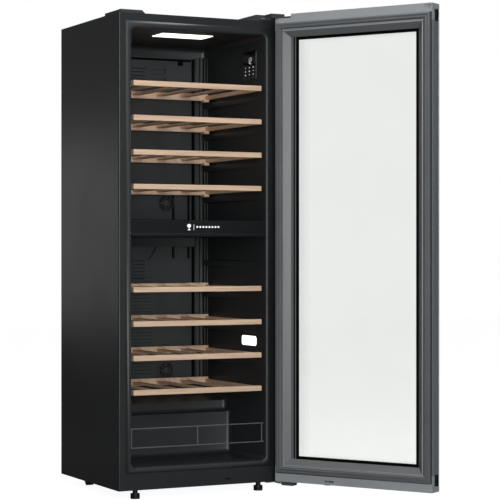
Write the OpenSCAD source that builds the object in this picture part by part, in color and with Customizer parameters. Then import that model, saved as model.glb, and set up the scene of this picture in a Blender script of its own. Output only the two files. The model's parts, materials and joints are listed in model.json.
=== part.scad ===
// Free-standing wine cooler with two zones, eight beech shelves and a glazed door.
// The row's origin is on the floor under the centre of the cabinet. +X is to the right as one
// faces the door, +Y is to the back and +Z is up. Inside the modules, X runs from the cabinet's
// left side, Y from its front face and Z from its underside.

/* [Cabinet] */
// Width of the cabinet
cab_w = 550; // [450:10:660]
// Depth of the cabinet without its door
cab_d = 495; // [430:5:600]
// Height of the cabinet without its feet
cab_h = 1470; // [1220:10:1770]
// Height of the gap under the cabinet
foot_h = 27; // [22:1:40]
// Thickness of the side walls
wall_t = 43.5; // [35:0.5:55]
// Thickness of the top wall
ceiling_t = 45.5; // [38:0.5:60]
// Height of the inner floor over the underside
floor_t = 69; // [62:1:85]
// Thickness of the rear wall
rear_t = 45; // [36:1:60]
// Thickness of the steel sheets
skin_t = 1; // [0.6:0.1:1.5]
// Thickness of the plastic liner
liner_t = 2; // [1.5:0.1:3]
// Width of the side panels' front flanges
flange_w = 23; // [15:1:28]
// Height of the steel band over the opening
band_h = 24; // [15:1:30]
// Height of the steel plinth under the opening
plinth_h = 51; // [40:1:55]
// Radius of the opening's corners
corner_r = 20; // [8:1:40]

/* [Zones] */
// Share of the inner height that lies below the divider
lower_share = 0.527; // [0.48:0.005:0.56]
// Height of the divider between the zones
divider_h = 50; // [35:1:70]
// Depth of the compressor bay
bay_d = 197; // [190:1:230]
// Height of the compressor bay
bay_h = 195; // [190:1:230]
// Thickness of the wall round the compressor bay
hump_wall = 40; // [30:1:50]
// Width of the air ducts' covers
duct_w = 370; // [260:5:380]
// Depth of the air ducts, cover included
duct_d = 14; // [13:1:20]

/* [Shelves] */
// Height of a shelf's front bar
bar_h = 16; // [12:1:24]
// Depth of a shelf's front bar
bar_d = 18; // [12:1:30]
// Gap between a shelf and each side wall
shelf_gap = 10; // [6:1:12]
// Distance between the gaps that hold the bottles
bottle_pitch = 88; // [78:1:100]
// Width of the slats under the bottles
slat_w = 28; // [20:1:40]
// Thickness of the slats
slat_t = 5; // [4:0.5:8]
// Travel of a shelf
shelf_travel = 280; // [150:10:300]
// Space from the upper zone's top shelf to the ceiling
head_upper = 176.5; // [130:0.5:200]
// Space from the lower zone's top shelf to the divider
head_lower = 173; // [130:0.5:200]

/* [Door] */
// Angle at which the door stands open
door_open = 121.7; // [0:0.1:125]
// Thickness of the door
door_t = 50; // [44:1:60]
// Gap between the door and the cabinet
door_gap = 9.2; // [7:0.1:12]
// Height of the door over the cabinet's top
door_over = 16.5; // [15:0.5:20]
// Height of the door's lower edge over the cabinet's underside
door_under = 6.5; // [5:0.5:12]
// Distance of the hinge line from the door's side
hinge_in = 6.6; // [6:0.1:9]
// Distance of the hinge line from the door's inner face
hinge_back = 22.5; // [20:0.5:25]
// Thickness of the outer pane
outer_glass_t = 4; // [3:0.5:5]
// Thickness of each inner pane
pane_t = 3; // [2.5:0.5:4]
// Width of the gasket
gasket_w = 20; // [14:1:24]
// Width of the sloping border round the glass
bezel_w = 22; // [16:1:30]
// Depth of the sloping border
bezel_drop = 13; // [9:1:15]

/* [Running gear] */
// Radius of the hinge pins
hinge_pin_r = 3.5; // [3:0.1:4]
// Radius of the front feet
foot_r = 14.5; // [12:0.5:18]
// Radius of the rear rollers
roller_r = 11; // [9:0.5:12]
// Radius of the circulation fans' wheels
fan_r = 31; // [24:1:36]
// Radius of the condenser fan's wheel
cond_fan_r = 54; // [40:1:58]
// Radial clearance of a shaft in its bore
run_fit = 0.05; // [0.02:0.01:0.1]

/* [Hidden] */
$fn = 48;

// Clearances
slack = 0.3;        // faces of pieces that move past each other
eps = 1;            // how far a cutting body passes the face it cuts

// Outer radius of the side sheets' front folds
fold_r = 4;

// The space inside
cav_w = cab_w - 2 * wall_t;
cav_d = cab_d - rear_t;
ceiling_z = cab_h - ceiling_t;
cav_h = ceiling_z - floor_t;
divider_z = floor_t + lower_share * cav_h - 1;
divider_top = divider_z + divider_h;
duct_y = cav_d - duct_d;
divider_shell_t = 2.5;

// The hump over the compressor bay
hump_y = cab_d - bay_d - hump_wall;
hump_z = bay_h + 45;
hump_step_y = hump_y + 32;
hump_step_z = hump_z - 35;
hump_rise = 28;
bay_y = cab_d - bay_d;

// Shelves: the places of the top and the bottom shelf of each zone
shelf_w = cav_w - 2 * shelf_gap;
shelf_x = wall_t + shelf_gap;
shelf_y = 10;
shelf_d = duct_y - 11 - shelf_y;
upper_top = ceiling_z - head_upper;
upper_low = divider_top + 96;
lower_top = divider_z - head_lower;
lower_low = hump_z + 51;
upper_pitch = (upper_top - upper_low) / 3;
lower_pitch = (lower_top - lower_low) / 3;
shelf_levels = concat([for (i = [0 : 3]) upper_top - i * upper_pitch],
                      [for (i = [0 : 3]) lower_top - i * lower_pitch]);
spare_level = lower_top + lower_pitch;
ledge_w = shelf_gap + 5;
ledge_h = 20;
ledge_y = 50;
edge_w = 12;                    // width of the boards along a shelf's sides
edge_h = 13;
rail_d = 20;                    // depth of a shelf's rear rail
rail_up = 20;                   // from the front bar's underside to the rail's top
rail_low = 3;                   // and to its underside
tab_w = 19;                     // width of the stops at the rear corners
tab_h = 9;
tab_in = ledge_w - shelf_gap + 1;   // from the shelf's side to a stop
slat_up = 6;                    // height of the slats over the bar's underside
arch_h = 8;                     // height of the arch over the end of a slat
arch_r = 31.6;
slat_count = floor((shelf_w - 2 * edge_w - slat_w) / bottle_pitch);
first_slat = (shelf_w - (slat_count - 1) * bottle_pitch) / 2;

// The door when it is closed
door_w = cab_w;
door_z = door_under;
door_top = cab_h + door_over;
door_h = door_top - door_z;
door_in = -door_gap;
door_out = door_in - door_t;
frame_out = door_out + outer_glass_t;
pivot_x = door_w - hinge_in;
pivot_y = door_in - hinge_back;
side_w = 29;                    // width of the side profiles
cap_h = side_w + 22;            // height of the end caps
gasket_side = 5;                // from the door's side to the gasket
gasket_end = cap_h - 4 - gasket_w;
rim_rise = 3.7;                 // how far the border's rim stands over the inner face
grip_d = 14;                    // depth of the grip along the door's edge
grip_back = 15;                 // from the inner face to the grip
grip_end = 16;                  // from the door's end to the grip
pane_y = door_in - bezel_drop - pane_t;
spacer_t = (door_t - outer_glass_t - bezel_drop - 2 * pane_t) / 2;
pane_edge = 4;                  // from the side profile to the inner panes
spacer_w = 10;
notch_w = 57;
notch_h = 12.5;

// Hinges
arm_t = 3;
arm_z = cab_h + door_over - notch_h + 1.2;
bush_r = hinge_pin_r + 2;
pin_in_door = 22;
plate_t = 3;

// Lock at the door's foot: its cam turns into a slot in the plinth
lock_in = 22;
lock_x = pivot_x - 173;
lock_y = door_in - lock_in;
lock_z = 17.5;
lock_r = 11;
plug_r = 6;
cam_reach = lock_in + door_gap + skin_t + 4;
cam_room = 2.5;

// Air ducts, fans and their ports
port_r = 25;
port_x = cab_w / 2 + 78;
upper_port_z = divider_top + 66;
lower_port_z = hump_z + 95;
fan_case = 2 * fan_r + 12;
fan_hub_r = 12;
blade_in = 0.4;                 // from the hub's faces to the blades
fan_shaft_r = 1.5;
fan_case_t = duct_d - 2 - 1.2;
fan_y = duct_y + 2 + 1;
upper_cover_z = divider_top + 8;
upper_cover_top = ceiling_z - 36;
lower_cover_z = hump_z + hump_rise + 18;
lower_cover_top = divider_z - 30;
evaporator_w = 320;

// Lamps and controls
lamp_w = 176;
lamp_d = 87;
lamp_y = 88;
side_lamp_y = 66;
side_lamp_w = 101;
side_lamp_h = 30.5;
side_lamp_z = lower_low + lower_pitch + 0.612 * (lower_pitch - ledge_h - side_lamp_h);
side_lamp_r = 8;
control_y = 65;
control_s = 94;
control_z = upper_top + 42;
lens_t = 2;
pocket_d = 15;
pocket_rim = 4;

// Under the cabinet
foot_x = 62;
foot_y = 18;
foot_stem_r = 4;
foot_stem_up = 20;
foot_travel = 12;
nut_r = 9;
nut_h = 8;
roller_x = 53;
roller_y = cab_d - 120;
roller_w = 22;
roller_pin_r = 3;
roller_z = -foot_h + roller_r;
ear_t = 2;

// The compressor bay
comp_x = cab_w - 150;
comp_y = bay_y + bay_d / 2;
comp_r = 74;
comp_z = 19;
comp_h = 142;
comp_round = 30;
stub_x = 30;
stub_z = comp_z + comp_h * 0.75;
mount_x = 88;
mount_y = 52;
cond_x = 60;
cond_w = 120;
cond_d = 126;
cond_h = 130;
fan_wall_x = 214;
cond_fan_case = 2 * cond_fan_r + 12;
cond_fan_t = 25;
cond_fan_foot = 18;
cond_fan_z = cond_fan_foot + cond_fan_case / 2;
cond_hub_r = 20;
cond_shaft_r = 2;
drain_y = comp_y + 12;

module place() {
    translate([-cab_w / 2, -cab_d / 2, foot_h]) children();
}

// Pieces of the door, drawn closed, are turned open about the hinge line.
module swing() {
    place()
        translate([pivot_x, pivot_y, 0])
            rotate([0, 0, door_open])
                translate([-pivot_x, -pivot_y, 0])
                    children();
}

// A flat shape in X and Z, thick from y0 to y1
module slab_y(y0, y1) {
    translate([0, y1, 0]) rotate([90, 0, 0]) linear_extrude(y1 - y0) children();
}

// A flat shape in Y and Z, thick from x0 to x1
module slab_x(x0, x1) {
    translate([x0, 0, 0]) rotate([90, 0, 90]) linear_extrude(x1 - x0) children();
}

module rounded(w, h, r) {
    translate([r, 0]) square([w - 2 * r, h]);
    translate([0, r]) square([w, h - 2 * r]);
    for (x = [r, w - r], y = [r, h - r]) {
        translate([x, y]) circle(r);
    }
}

module block(x0, x1, y0, y1, z0, z1) {
    translate([x0, y0, z0]) cube([x1 - x0, y1 - y0, z1 - z0]);
}

module rod_x(x0, x1, y, z, r) {
    translate([x0, y, z]) rotate([0, 90, 0]) cylinder(h = x1 - x0, r = r);
}

module rod_y(y0, y1, x, z, r) {
    translate([x, y1, z]) rotate([90, 0, 0]) cylinder(h = y1 - y0, r = r);
}

module rod_z(z0, z1, x, y, r) {
    translate([x, y, z0]) cylinder(h = z1 - z0, r = r);
}

// One side of a mitred frame along X. The section is drawn with its depth along Y first
// and its distance inwards second, and is cut at 45 degrees at both ends.
module frame_side(len, reach) {
    intersection() {
        slab_x(0, len) children();
        slab_y(-100, 100) polygon([[0, 0], [len, 0], [len - reach, reach], [reach, reach]]);
    }
}

module mitred_frame(w, h, reach) {
    frame_side(w, reach) children();
    translate([0, 0, h]) mirror([0, 0, 1]) frame_side(w, reach) children();
    mirror([1, 0, 0]) rotate([0, -90, 0]) frame_side(h, reach) children();
    translate([w, 0, 0]) rotate([0, -90, 0]) frame_side(h, reach) children();
}

// ---- Shell of the cabinet ----

// Plan of a side sheet with its front flange, drawn as a filled corner
module corner_plan(inset) {
    far = inset > 0 ? eps : 0;
    translate([inset, fold_r]) square([flange_w - inset + far, cab_d - fold_r + far]);
    translate([fold_r, inset]) square([flange_w - fold_r + far, cab_d - inset + far]);
    translate([fold_r, fold_r]) circle(fold_r - inset);
}

module side_sheet() {
    linear_extrude(cab_h) {
        difference() {
            corner_plan(0);
            corner_plan(skin_t);
        }
    }
}

module left_side_panel() {
    color([0.09, 0.10, 0.11]) place() side_sheet();
}

module right_side_panel() {
    color([0.09, 0.10, 0.11]) place() translate([cab_w, 0, 0]) mirror([1, 0, 0]) side_sheet();
}

module top_panel() {
    color([0.09, 0.10, 0.11]) place() {
        block(skin_t, cab_w - skin_t, fold_r, cab_d - skin_t, cab_h - skin_t, cab_h);
        block(flange_w, cab_w - flange_w, 0, fold_r, cab_h - skin_t, cab_h);
        block(flange_w, cab_w - flange_w, 0, skin_t, cab_h - band_h, cab_h);
    }
}

module rear_panel() {
    color([0.10, 0.11, 0.12]) place()
        block(skin_t, cab_w - skin_t, cab_d - skin_t, cab_d, bay_h, cab_h);
}

module base_pan() {
    color([0.35, 0.36, 0.38]) place() {
        difference() {
            union() {
                block(skin_t, cab_w - skin_t, 26, cab_d - skin_t, 0, 1.5);
                for (x = [foot_x, cab_w - foot_x]) {
                    rod_z(0, 1.5, x, foot_y, 16);
                    block(x - 16, x + 16, foot_y, 30, 0, 1.5);
                    rod_z(1.5, 1.5 + nut_h, x, foot_y, nut_r);
                }
                for (x = [roller_x, cab_w - roller_x]) {
                    roller_ears(x);
                }
            }
            for (x = [foot_x, cab_w - foot_x]) {
                rod_z(-eps, 1.5 + nut_h + eps, x, foot_y, foot_stem_r + run_fit);
            }
        }
    }
}

// The two ears that hold a rear roller's pin
module roller_ears(x) {
    for (side = [-1, 1]) {
        mid = x + side * (roller_w / 2 + slack + ear_t / 2);
        difference() {
            union() {
                block(mid - ear_t / 2, mid + ear_t / 2, roller_y - 12, roller_y + 12, roller_z, 0);
                rod_x(mid - ear_t / 2, mid + ear_t / 2, roller_y, roller_z, 7);
            }
            rod_x(mid - ear_t, mid + ear_t, roller_y, roller_z, roller_pin_r);
        }
    }
}

module front_plinth() {
    color([0.12, 0.13, 0.14]) place() {
        difference() {
            union() {
                block(flange_w, cab_w - flange_w, 0, skin_t, 0, plinth_h);
                block(flange_w, cab_w - flange_w, skin_t, 26, 0, skin_t);
            }
            for (x = [foot_x, cab_w - foot_x]) {
                rod_z(-eps, skin_t + eps, x, foot_y, 16.3);
                block(x - 16.3, x + 16.3, foot_y, 27, -eps, skin_t + eps);
            }
            // slot that takes the lock's cam
            block(lock_x - 10, lock_x + 10, -eps, skin_t + eps, lock_z - 3, lock_z + 3);
        }
    }
}

// ---- Liner and insulation ----

// Outline of the hump in Y and Z; inset shrinks it for the liner's far side
module hump_outline(inset) {
    y0 = hump_y + inset;
    y1 = hump_step_y + inset;
    z1 = hump_step_z - inset;
    z2 = hump_z - inset;
    polygon([[y0, 0], [y0, z1], [y1, z1], [y1, z2], [cav_d + 10, z2 + hump_rise], [cav_d + 10, 0]]);
}

module cavity_block(grow, y0, y1) {
    slab_y(y0, y1)
        translate([wall_t - grow, floor_t - grow])
            rounded(cav_w + 2 * grow, cav_h + 2 * grow, corner_r + grow);
}

// Ledges that the shelves slide on, and the vertical ribs in the rear corners
module liner_ledges() {
    for (z = concat(shelf_levels, [spare_level])) {
        for (side = [0, 1]) {
            x = side == 0 ? wall_t - eps : cab_w - wall_t - ledge_w;
            block(x, x + ledge_w + eps, ledge_y, cav_d + eps, z - slack - ledge_h, z - slack);
        }
    }
}

module liner_ribs() {
    for (side = [-1, 1]) {
        mid = cab_w / 2 + side * (duct_w / 2 + 12);
        block(mid - 5, mid + 5, cav_d - 6, cav_d + eps, divider_top, upper_cover_top + 20);
        block(mid - 5, mid + 5, cav_d - 6, cav_d + eps, hump_z, divider_z);
    }
}

module lamp_pocket(grow) {
    x = cab_w / 2 - lamp_w / 2 + pocket_rim - grow;
    block(x, x + lamp_w - 2 * pocket_rim + 2 * grow, lamp_y + pocket_rim - grow,
          lamp_y + lamp_d - pocket_rim + grow, ceiling_z - eps, ceiling_z + pocket_d + grow);
}

module side_pocket(y, w, z, h, grow) {
    x = cab_w - wall_t;
    block(x - eps, x + pocket_d + grow, y + pocket_rim - grow, y + w - pocket_rim + grow,
          z + pocket_rim - grow, z + h - pocket_rim + grow);
}

module pockets() {
    lamp_pocket(0);
    side_pocket(side_lamp_y, side_lamp_w, side_lamp_z, side_lamp_h, 0);
    side_pocket(control_y, control_s, control_z, control_s, 0);
}

module inner_liner() {
    color([0.11, 0.12, 0.13]) place() {
        difference() {
            union() {
                block(flange_w, cab_w - flange_w, 0, liner_t, plinth_h, cab_h - band_h);
                cavity_block(liner_t, 0, cav_d + liner_t);
            }
            difference() {
                cavity_block(0, -eps, cav_d);
                slab_x(0, cab_w) hump_outline(0);
                liner_ledges();
                liner_ribs();
            }
            slab_x(0, cab_w) hump_outline(liner_t);
            pockets();
            rod_z(bay_h, hump_z + hump_rise + eps, comp_x, drain_y, 6);
        }
    }
}

module insulation_foam() {
    color([0.85, 0.80, 0.62]) place() {
        difference() {
            block(skin_t, cab_w - skin_t, liner_t, cab_d - skin_t, 1.5, cab_h - skin_t);
            difference() {
                cavity_block(liner_t, -eps, cav_d + liner_t);
                slab_x(0, cab_w) hump_outline(liner_t);
            }
            block(0, cab_w, bay_y, cab_d, 0, bay_h);
            pockets();
            evaporator_pair();
            rod_z(0, hump_z + hump_rise + eps, comp_x, drain_y, 6);
            for (x = [foot_x, cab_w - foot_x]) {
                rod_z(0, foot_stem_up + 8, x, foot_y, nut_r + 1);
            }
            block(lock_x - 12, lock_x + 12, 0, 12, lock_z - 5, lock_z + 5);
            for (x = [0, cab_w - fold_r]) {
                block(x, x + fold_r, 0, fold_r, 0, cab_h);
            }
        }
        divider_core();
    }
}

// ---- Divider ----

module zone_divider() {
    color([0.13, 0.14, 0.15]) place()
        difference() {
            block(wall_t, cab_w - wall_t, 9, cav_d, divider_z, divider_top);
            divider_core();
        }
}

// Foam inside the divider, which is a shell open to the rear wall
module divider_core() {
    t = divider_shell_t;
    block(wall_t + t, cab_w - wall_t - t, 9 + t, cav_d, divider_z + t, divider_top - t);
}

module divider_trim() {
    color([0.14, 0.15, 0.16]) place()
        slab_x(wall_t, cab_w - wall_t)
            polygon([[9, divider_z], [3.5, divider_z], [3.5, divider_z + 7], [6, divider_z + 9.5],
                     [6, divider_top - 1.5], [7.5, divider_top], [9, divider_top]]);
}

// ---- Air ducts ----

// A grille of rings round the port's centre
module port_cut(z) {
    difference() {
        union() {
            for (r = [port_r, port_r * 0.62]) {
                difference() {
                    rod_y(duct_y - eps, duct_y + 3, port_x, z, r);
                    rod_y(duct_y - 2 * eps, duct_y + 4, port_x, z, r - port_r * 0.28);
                }
            }
        }
        block(port_x - port_r, port_x + port_r, duct_y - 2, duct_y + 4, z - 1.2, z + 1.2);
        block(port_x - 1.2, port_x + 1.2, duct_y - 2, duct_y + 4, z - port_r, z + port_r);
    }
}

module louvre_cut(z0, count, pitch) {
    x0 = (cab_w - duct_w) / 2 + 30;
    for (i = [0 : count - 1]) {
        block(x0, x0 + duct_w * 0.42, duct_y - eps, duct_y + 3, z0 + i * pitch, z0 + i * pitch + 3);
    }
}

module duct_cover(z0, z1, port_z, louvre_z, louvres) {
    x0 = (cab_w - duct_w) / 2;
    wall = 2;
    difference() {
        slab_y(duct_y, cav_d) translate([x0, z0]) rounded(duct_w, z1 - z0, 12);
        slab_y(duct_y + wall, cav_d + eps)
            translate([x0 + wall, z0 + wall])
                rounded(duct_w - 2 * wall, z1 - z0 - 2 * wall, 10);
        port_cut(port_z);
        louvre_cut(louvre_z, louvres, 12);
    }
}

module upper_duct_cover() {
    color([0.15, 0.16, 0.17]) place()
        duct_cover(upper_cover_z, upper_cover_top, upper_port_z, upper_cover_top - 90, 5);
}

module lower_duct_cover() {
    color([0.15, 0.16, 0.17]) place()
        duct_cover(lower_cover_z, lower_cover_top, lower_port_z, lower_cover_top - 110, 6);
}

// A plate with its refrigerant channel, bonded behind the liner
module evaporator_plate(z0, z1) {
    half = evaporator_w / 2;
    turn = half - 15;
    runs = 5;
    step = (z1 - z0 - 30) / (runs - 1);
    y = cav_d + liner_t;
    block(cab_w / 2 - half, cab_w / 2 + half, y, y + 1.5, z0, z1);
    for (i = [0 : runs - 1]) {
        rod_x(cab_w / 2 - turn - 4, cab_w / 2 + turn + 4, y + 3.2, z0 + 15 + i * step, 2.5);
    }
    for (i = [0 : runs - 2]) {
        x = cab_w / 2 + (i % 2 == 0 ? turn : -turn);
        rod_z(z0 + 15 + i * step, z0 + 15 + (i + 1) * step, x, y + 3.2, 2);
    }
}

module evaporator_pair() {
    evaporator_plate(upper_cover_z + 20, upper_cover_top - 60);
    evaporator_plate(lower_cover_z + 20, lower_cover_top - 20);
}

module evaporator_plates() {
    color([0.75, 0.77, 0.79]) place() evaporator_pair();
}

// Square fan frame facing -Y with four arms behind the wheel and a fixed shaft
module fan_frame(s, t, r, hub_r, shaft_r) {
    difference() {
        slab_y(0, t) translate([-s / 2, -s / 2]) rounded(s, s, 6);
        rod_y(-eps, t + eps, 0, 0, r + 1.2);
    }
    for (a = [45 : 90 : 315]) {
        rotate([0, a, 0]) block(hub_r - 2, r + 3, t - 1.6, t, -2.5, 2.5);
    }
    rod_y(t - 1.6, t, 0, 0, hub_r);
    rod_y(1, t - 1.6, 0, 0, shaft_r);
}

// Fan wheel on the same axis: a hub with a bore and tilted blades
module fan_wheel(t, r, hub_r, shaft_r, blades, thick) {
    y0 = 1.4;
    y1 = t - 1.6 - slack;
    difference() {
        rod_y(y0, y1, 0, 0, hub_r);
        rod_y(y0 - eps, y1 + eps, 0, 0, shaft_r + run_fit);
    }
    for (i = [0 : blades - 1]) {
        rotate([0, i * 360 / blades, 0])
            intersection() {
                translate([hub_r - 1, (y0 + y1) / 2, 0])
                    rotate([38, 0, 0])
                        translate([0, -(y1 - y0), -thick / 2])
                            cube([r - hub_r, 2 * (y1 - y0), thick]);
                rod_y(y0 + blade_in, y1 - blade_in, 0, 0, r);
            }
    }
}

module at_port(z) {
    translate([port_x, fan_y, z]) children();
}

module at_condenser_fan() {
    translate([fan_wall_x, comp_y, cond_fan_z]) rotate([0, 0, -90]) children();
}

module fan_frames() {
    color([0.08, 0.08, 0.09]) place() {
        at_port(upper_port_z) fan_frame(fan_case, fan_case_t, fan_r, fan_hub_r, fan_shaft_r);
        at_port(lower_port_z) fan_frame(fan_case, fan_case_t, fan_r, fan_hub_r, fan_shaft_r);
        at_condenser_fan()
            fan_frame(cond_fan_case, cond_fan_t, cond_fan_r, cond_hub_r, cond_shaft_r);
        block(fan_wall_x, fan_wall_x + cond_fan_t, comp_y - 50, comp_y + 50, 1.5, cond_fan_foot);
    }
}

module upper_fan_wheel() {
    color([0.16, 0.16, 0.17]) place() at_port(upper_port_z)
        fan_wheel(fan_case_t, fan_r, fan_hub_r, fan_shaft_r, 7, 1);
}

module lower_fan_wheel() {
    color([0.16, 0.16, 0.17]) place() at_port(lower_port_z)
        fan_wheel(fan_case_t, fan_r, fan_hub_r, fan_shaft_r, 7, 1);
}

module condenser_fan_wheel() {
    color([0.16, 0.16, 0.17]) place() at_condenser_fan()
        fan_wheel(cond_fan_t, cond_fan_r, cond_hub_r, cond_shaft_r, 7, 2);
}

// ---- Lamps and controls ----

module ceiling_lamp_lens() {
    color([0.97, 0.97, 0.94]) place()
        translate([cab_w / 2 - lamp_w / 2, lamp_y, ceiling_z - lens_t])
            linear_extrude(lens_t) rounded(lamp_w, lamp_d, 3);
}

module side_lamp_lens() {
    x = cab_w - wall_t;
    color([0.97, 0.97, 0.94]) place()
        slab_x(x - lens_t, x)
            translate([side_lamp_y, side_lamp_z])
                rounded(side_lamp_w, side_lamp_h, side_lamp_r);
}

// Trays behind the lenses, open towards the light
module lamp_housings() {
    color([0.9, 0.9, 0.9]) place() {
        difference() {
            lamp_pocket(0);
            lamp_pocket(-2);
            block(0, cab_w, 0, cav_d, 0, ceiling_z);
        }
        difference() {
            side_pocket(side_lamp_y, side_lamp_w, side_lamp_z, side_lamp_h, 0);
            side_pocket(side_lamp_y, side_lamp_w, side_lamp_z, side_lamp_h, -2);
            block(0, cab_w - wall_t, 0, cav_d, 0, ceiling_z);
        }
    }
}

module control_panel() {
    x = cab_w - wall_t;
    color([0.03, 0.03, 0.04]) place()
        slab_x(x - lens_t, x)
            translate([control_y, control_z])
                rounded(control_s, control_s, 4);
}

module control_board() {
    x = cab_w - wall_t;
    color([0.10, 0.35, 0.20]) place() {
        block(x + 2, x + 3.6, control_y + 8, control_y + control_s - 8,
              control_z + 8, control_z + control_s - 8);
        block(x, x + 2, control_y + 30, control_y + 64, control_z + 50, control_z + 70);
        for (y = [control_y + 14, control_y + control_s - 14]) {
            rod_x(x + 3.6, x + pocket_d, y, control_z + 14, 3);
            rod_x(x + 3.6, x + pocket_d, y, control_z + control_s - 14, 3);
        }
        block(x + 3.6, x + 10, control_y + 34, control_y + 58, control_z + 20, control_z + 36);
    }
}

// Wire guard that keeps bottles on the floor of the lower zone
module wire_guard() {
    y = 18;
    r = 2;
    z0 = floor_t + 59;
    z1 = z0 + 59;
    x0 = wall_t + r + 4;
    x1 = cab_w - wall_t - r - 4;
    color([0.42, 0.44, 0.46]) place() {
        for (z = [z0, z1]) {
            rod_x(wall_t, cab_w - wall_t, y, z, r);
        }
        for (x = [x0, cab_w / 2, x1]) {
            rod_z(z0, z1, x, y, r);
        }
    }
}

// ---- Compressor bay ----

// The compressor's can as a solid of revolution; inset gives its hollow
module compressor_can(inset) {
    r = comp_r - inset;
    h = comp_h - 2 * inset;
    translate([comp_x, comp_y, comp_z + inset])
        rotate_extrude()
            intersection() {
                translate([-r, 0]) rounded(2 * r, h, comp_round - inset);
                square([r, h]);
            }
}

module compressor() {
    color([0.06, 0.06, 0.07]) place() {
        difference() {
            union() {
                compressor_can(0);
                rod_z(comp_z + comp_h * 0.6, comp_z + comp_h * 0.6 + 4, comp_x, comp_y, comp_r + 3);
                block(comp_x - mount_x - 14, comp_x + mount_x + 14, comp_y - mount_y - 14,
                      comp_y + mount_y + 14, comp_z - 3, comp_z + 0.5);
                block(comp_x - comp_r - 26, comp_x, comp_y - 28, comp_y + 28, comp_z + 30, comp_z + 76);
                for (side = [-1, 1]) {
                    rod_y(comp_y - comp_r + 2, comp_y, comp_x + side * stub_x, stub_z, 6);
                }
            }
            compressor_can(8);
            rod_z(comp_z - 3 - eps, comp_z + comp_round, comp_x, comp_y, comp_r - comp_round);
            for (x = [comp_x - mount_x, comp_x + mount_x], y = [comp_y - mount_y, comp_y + mount_y]) {
                rod_z(comp_z - 3 - eps, comp_z + 2, x, y, 6);
            }
        }
    }
}

module compressor_mounts() {
    color([0.05, 0.05, 0.05]) place()
        for (x = [comp_x - mount_x, comp_x + mount_x], y = [comp_y - mount_y, comp_y + mount_y]) {
            rod_z(1.5, comp_z - 3, x, y, 11);
            rod_z(comp_z - 3, comp_z + 0.5, x, y, 6);
            rod_z(comp_z + 0.5, comp_z + 4, x, y, 9);
        }
}

module condenser() {
    fins = 14;
    rows = 5;
    y0 = comp_y - cond_d / 2;
    color([0.55, 0.57, 0.6]) place() {
        for (i = [0 : fins - 1]) {
            x = cond_x + i * cond_w / (fins - 1);
            block(x, x + 0.8, y0, y0 + cond_d, 1.5, 1.5 + cond_h);
        }
        for (j = [0 : rows - 1]) {
            rod_x(cond_x - 8, cond_x + cond_w + 8, y0 + 16 + j * 23.5, 30, 4);
            rod_x(cond_x - 8, cond_x + cond_w + 8, y0 + 16 + j * 23.5, 102, 4);
        }
    }
}

// A pipe along a list of corner points
module pipe(points, r) {
    for (i = [0 : len(points) - 2]) {
        a = points[i];
        d = points[i + 1] - a;
        along = norm(d);
        translate(a)
            rotate([0, acos(d[2] / along), atan2(d[1], d[0])])
                cylinder(h = along, r = r);
    }
    for (i = [1 : len(points) - 2]) {
        translate(points[i]) sphere(r);
    }
}

module refrigerant_pipes() {
    start = comp_y - comp_r + 2;
    y = comp_y - comp_r - 8;
    left = cond_x - 14;
    color([0.72, 0.43, 0.25]) place() {
        pipe([[comp_x - stub_x, start, stub_z], [comp_x - stub_x, y, stub_z], [comp_x - stub_x, y, 172],
              [left, y, 172], [left, y, 102], [left, comp_y - cond_d / 2 + 16, 102],
              [cond_x - 8, comp_y - cond_d / 2 + 16, 102]], 3);
        pipe([[comp_x + stub_x, start, stub_z], [comp_x + stub_x, y, stub_z],
              [comp_x + stub_x, y, bay_h]], 4);
        pipe([[cond_x + cond_w + 8, comp_y + cond_d / 2 - 16, 30],
              [fan_wall_x - 12, comp_y + cond_d / 2 - 16, 30],
              [fan_wall_x - 12, comp_y + cond_d / 2 - 16, 150]], 3);
        rod_z(150, 186, fan_wall_x - 12, comp_y + cond_d / 2 - 16, 9);
        rod_z(186, bay_h, fan_wall_x - 12, comp_y + cond_d / 2 - 16, 3);
    }
}

module drain_tube() {
    color([0.8, 0.8, 0.8]) place()
        difference() {
            rod_z(bay_h - 8, hump_z + hump_rise - 4, comp_x, drain_y, 6);
            rod_z(bay_h - 9, hump_z + hump_rise, comp_x, drain_y, 4.5);
        }
}

module evaporation_tray() {
    z = comp_z + comp_h;
    color([0.2, 0.2, 0.21]) place()
        difference() {
            block(comp_x - 70, comp_x + 70, comp_y - 45, comp_y + 45, z, z + 20);
            block(comp_x - 68, comp_x + 68, comp_y - 43, comp_y + 43, z + 2, z + 20 + eps);
        }
}

module rear_grille() {
    inlet = inlet_box();
    color([0.10, 0.10, 0.11]) place()
        difference() {
            block(skin_t, cab_w - skin_t, cab_d - skin_t, cab_d, 1.5, bay_h);
            for (x = [40 : 12 : 200], z = [40, 110]) {
                block(x, x + 4, cab_d - 3, cab_d + eps, z, z + 50);
            }
            for (x = [cab_w - 220 : 12 : cab_w - 100], z = [40, 110]) {
                block(x, x + 4, cab_d - 3, cab_d + eps, z, z + 50);
            }
            block(inlet[0], inlet[0] + 50, cab_d - 3, cab_d + eps, inlet[1], inlet[1] + 30);
        }
}

function inlet_box() = [cab_w - 75, 130];

module power_inlet() {
    box = inlet_box();
    color([0.04, 0.04, 0.04]) place()
        difference() {
            block(box[0], box[0] + 50, cab_d - 22, cab_d, box[1], box[1] + 30);
            block(box[0] + 12, box[0] + 38, cab_d - 16, cab_d + eps, box[1] + 7, box[1] + 23);
        }
}

// ---- Hinges and top covers ----

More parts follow.
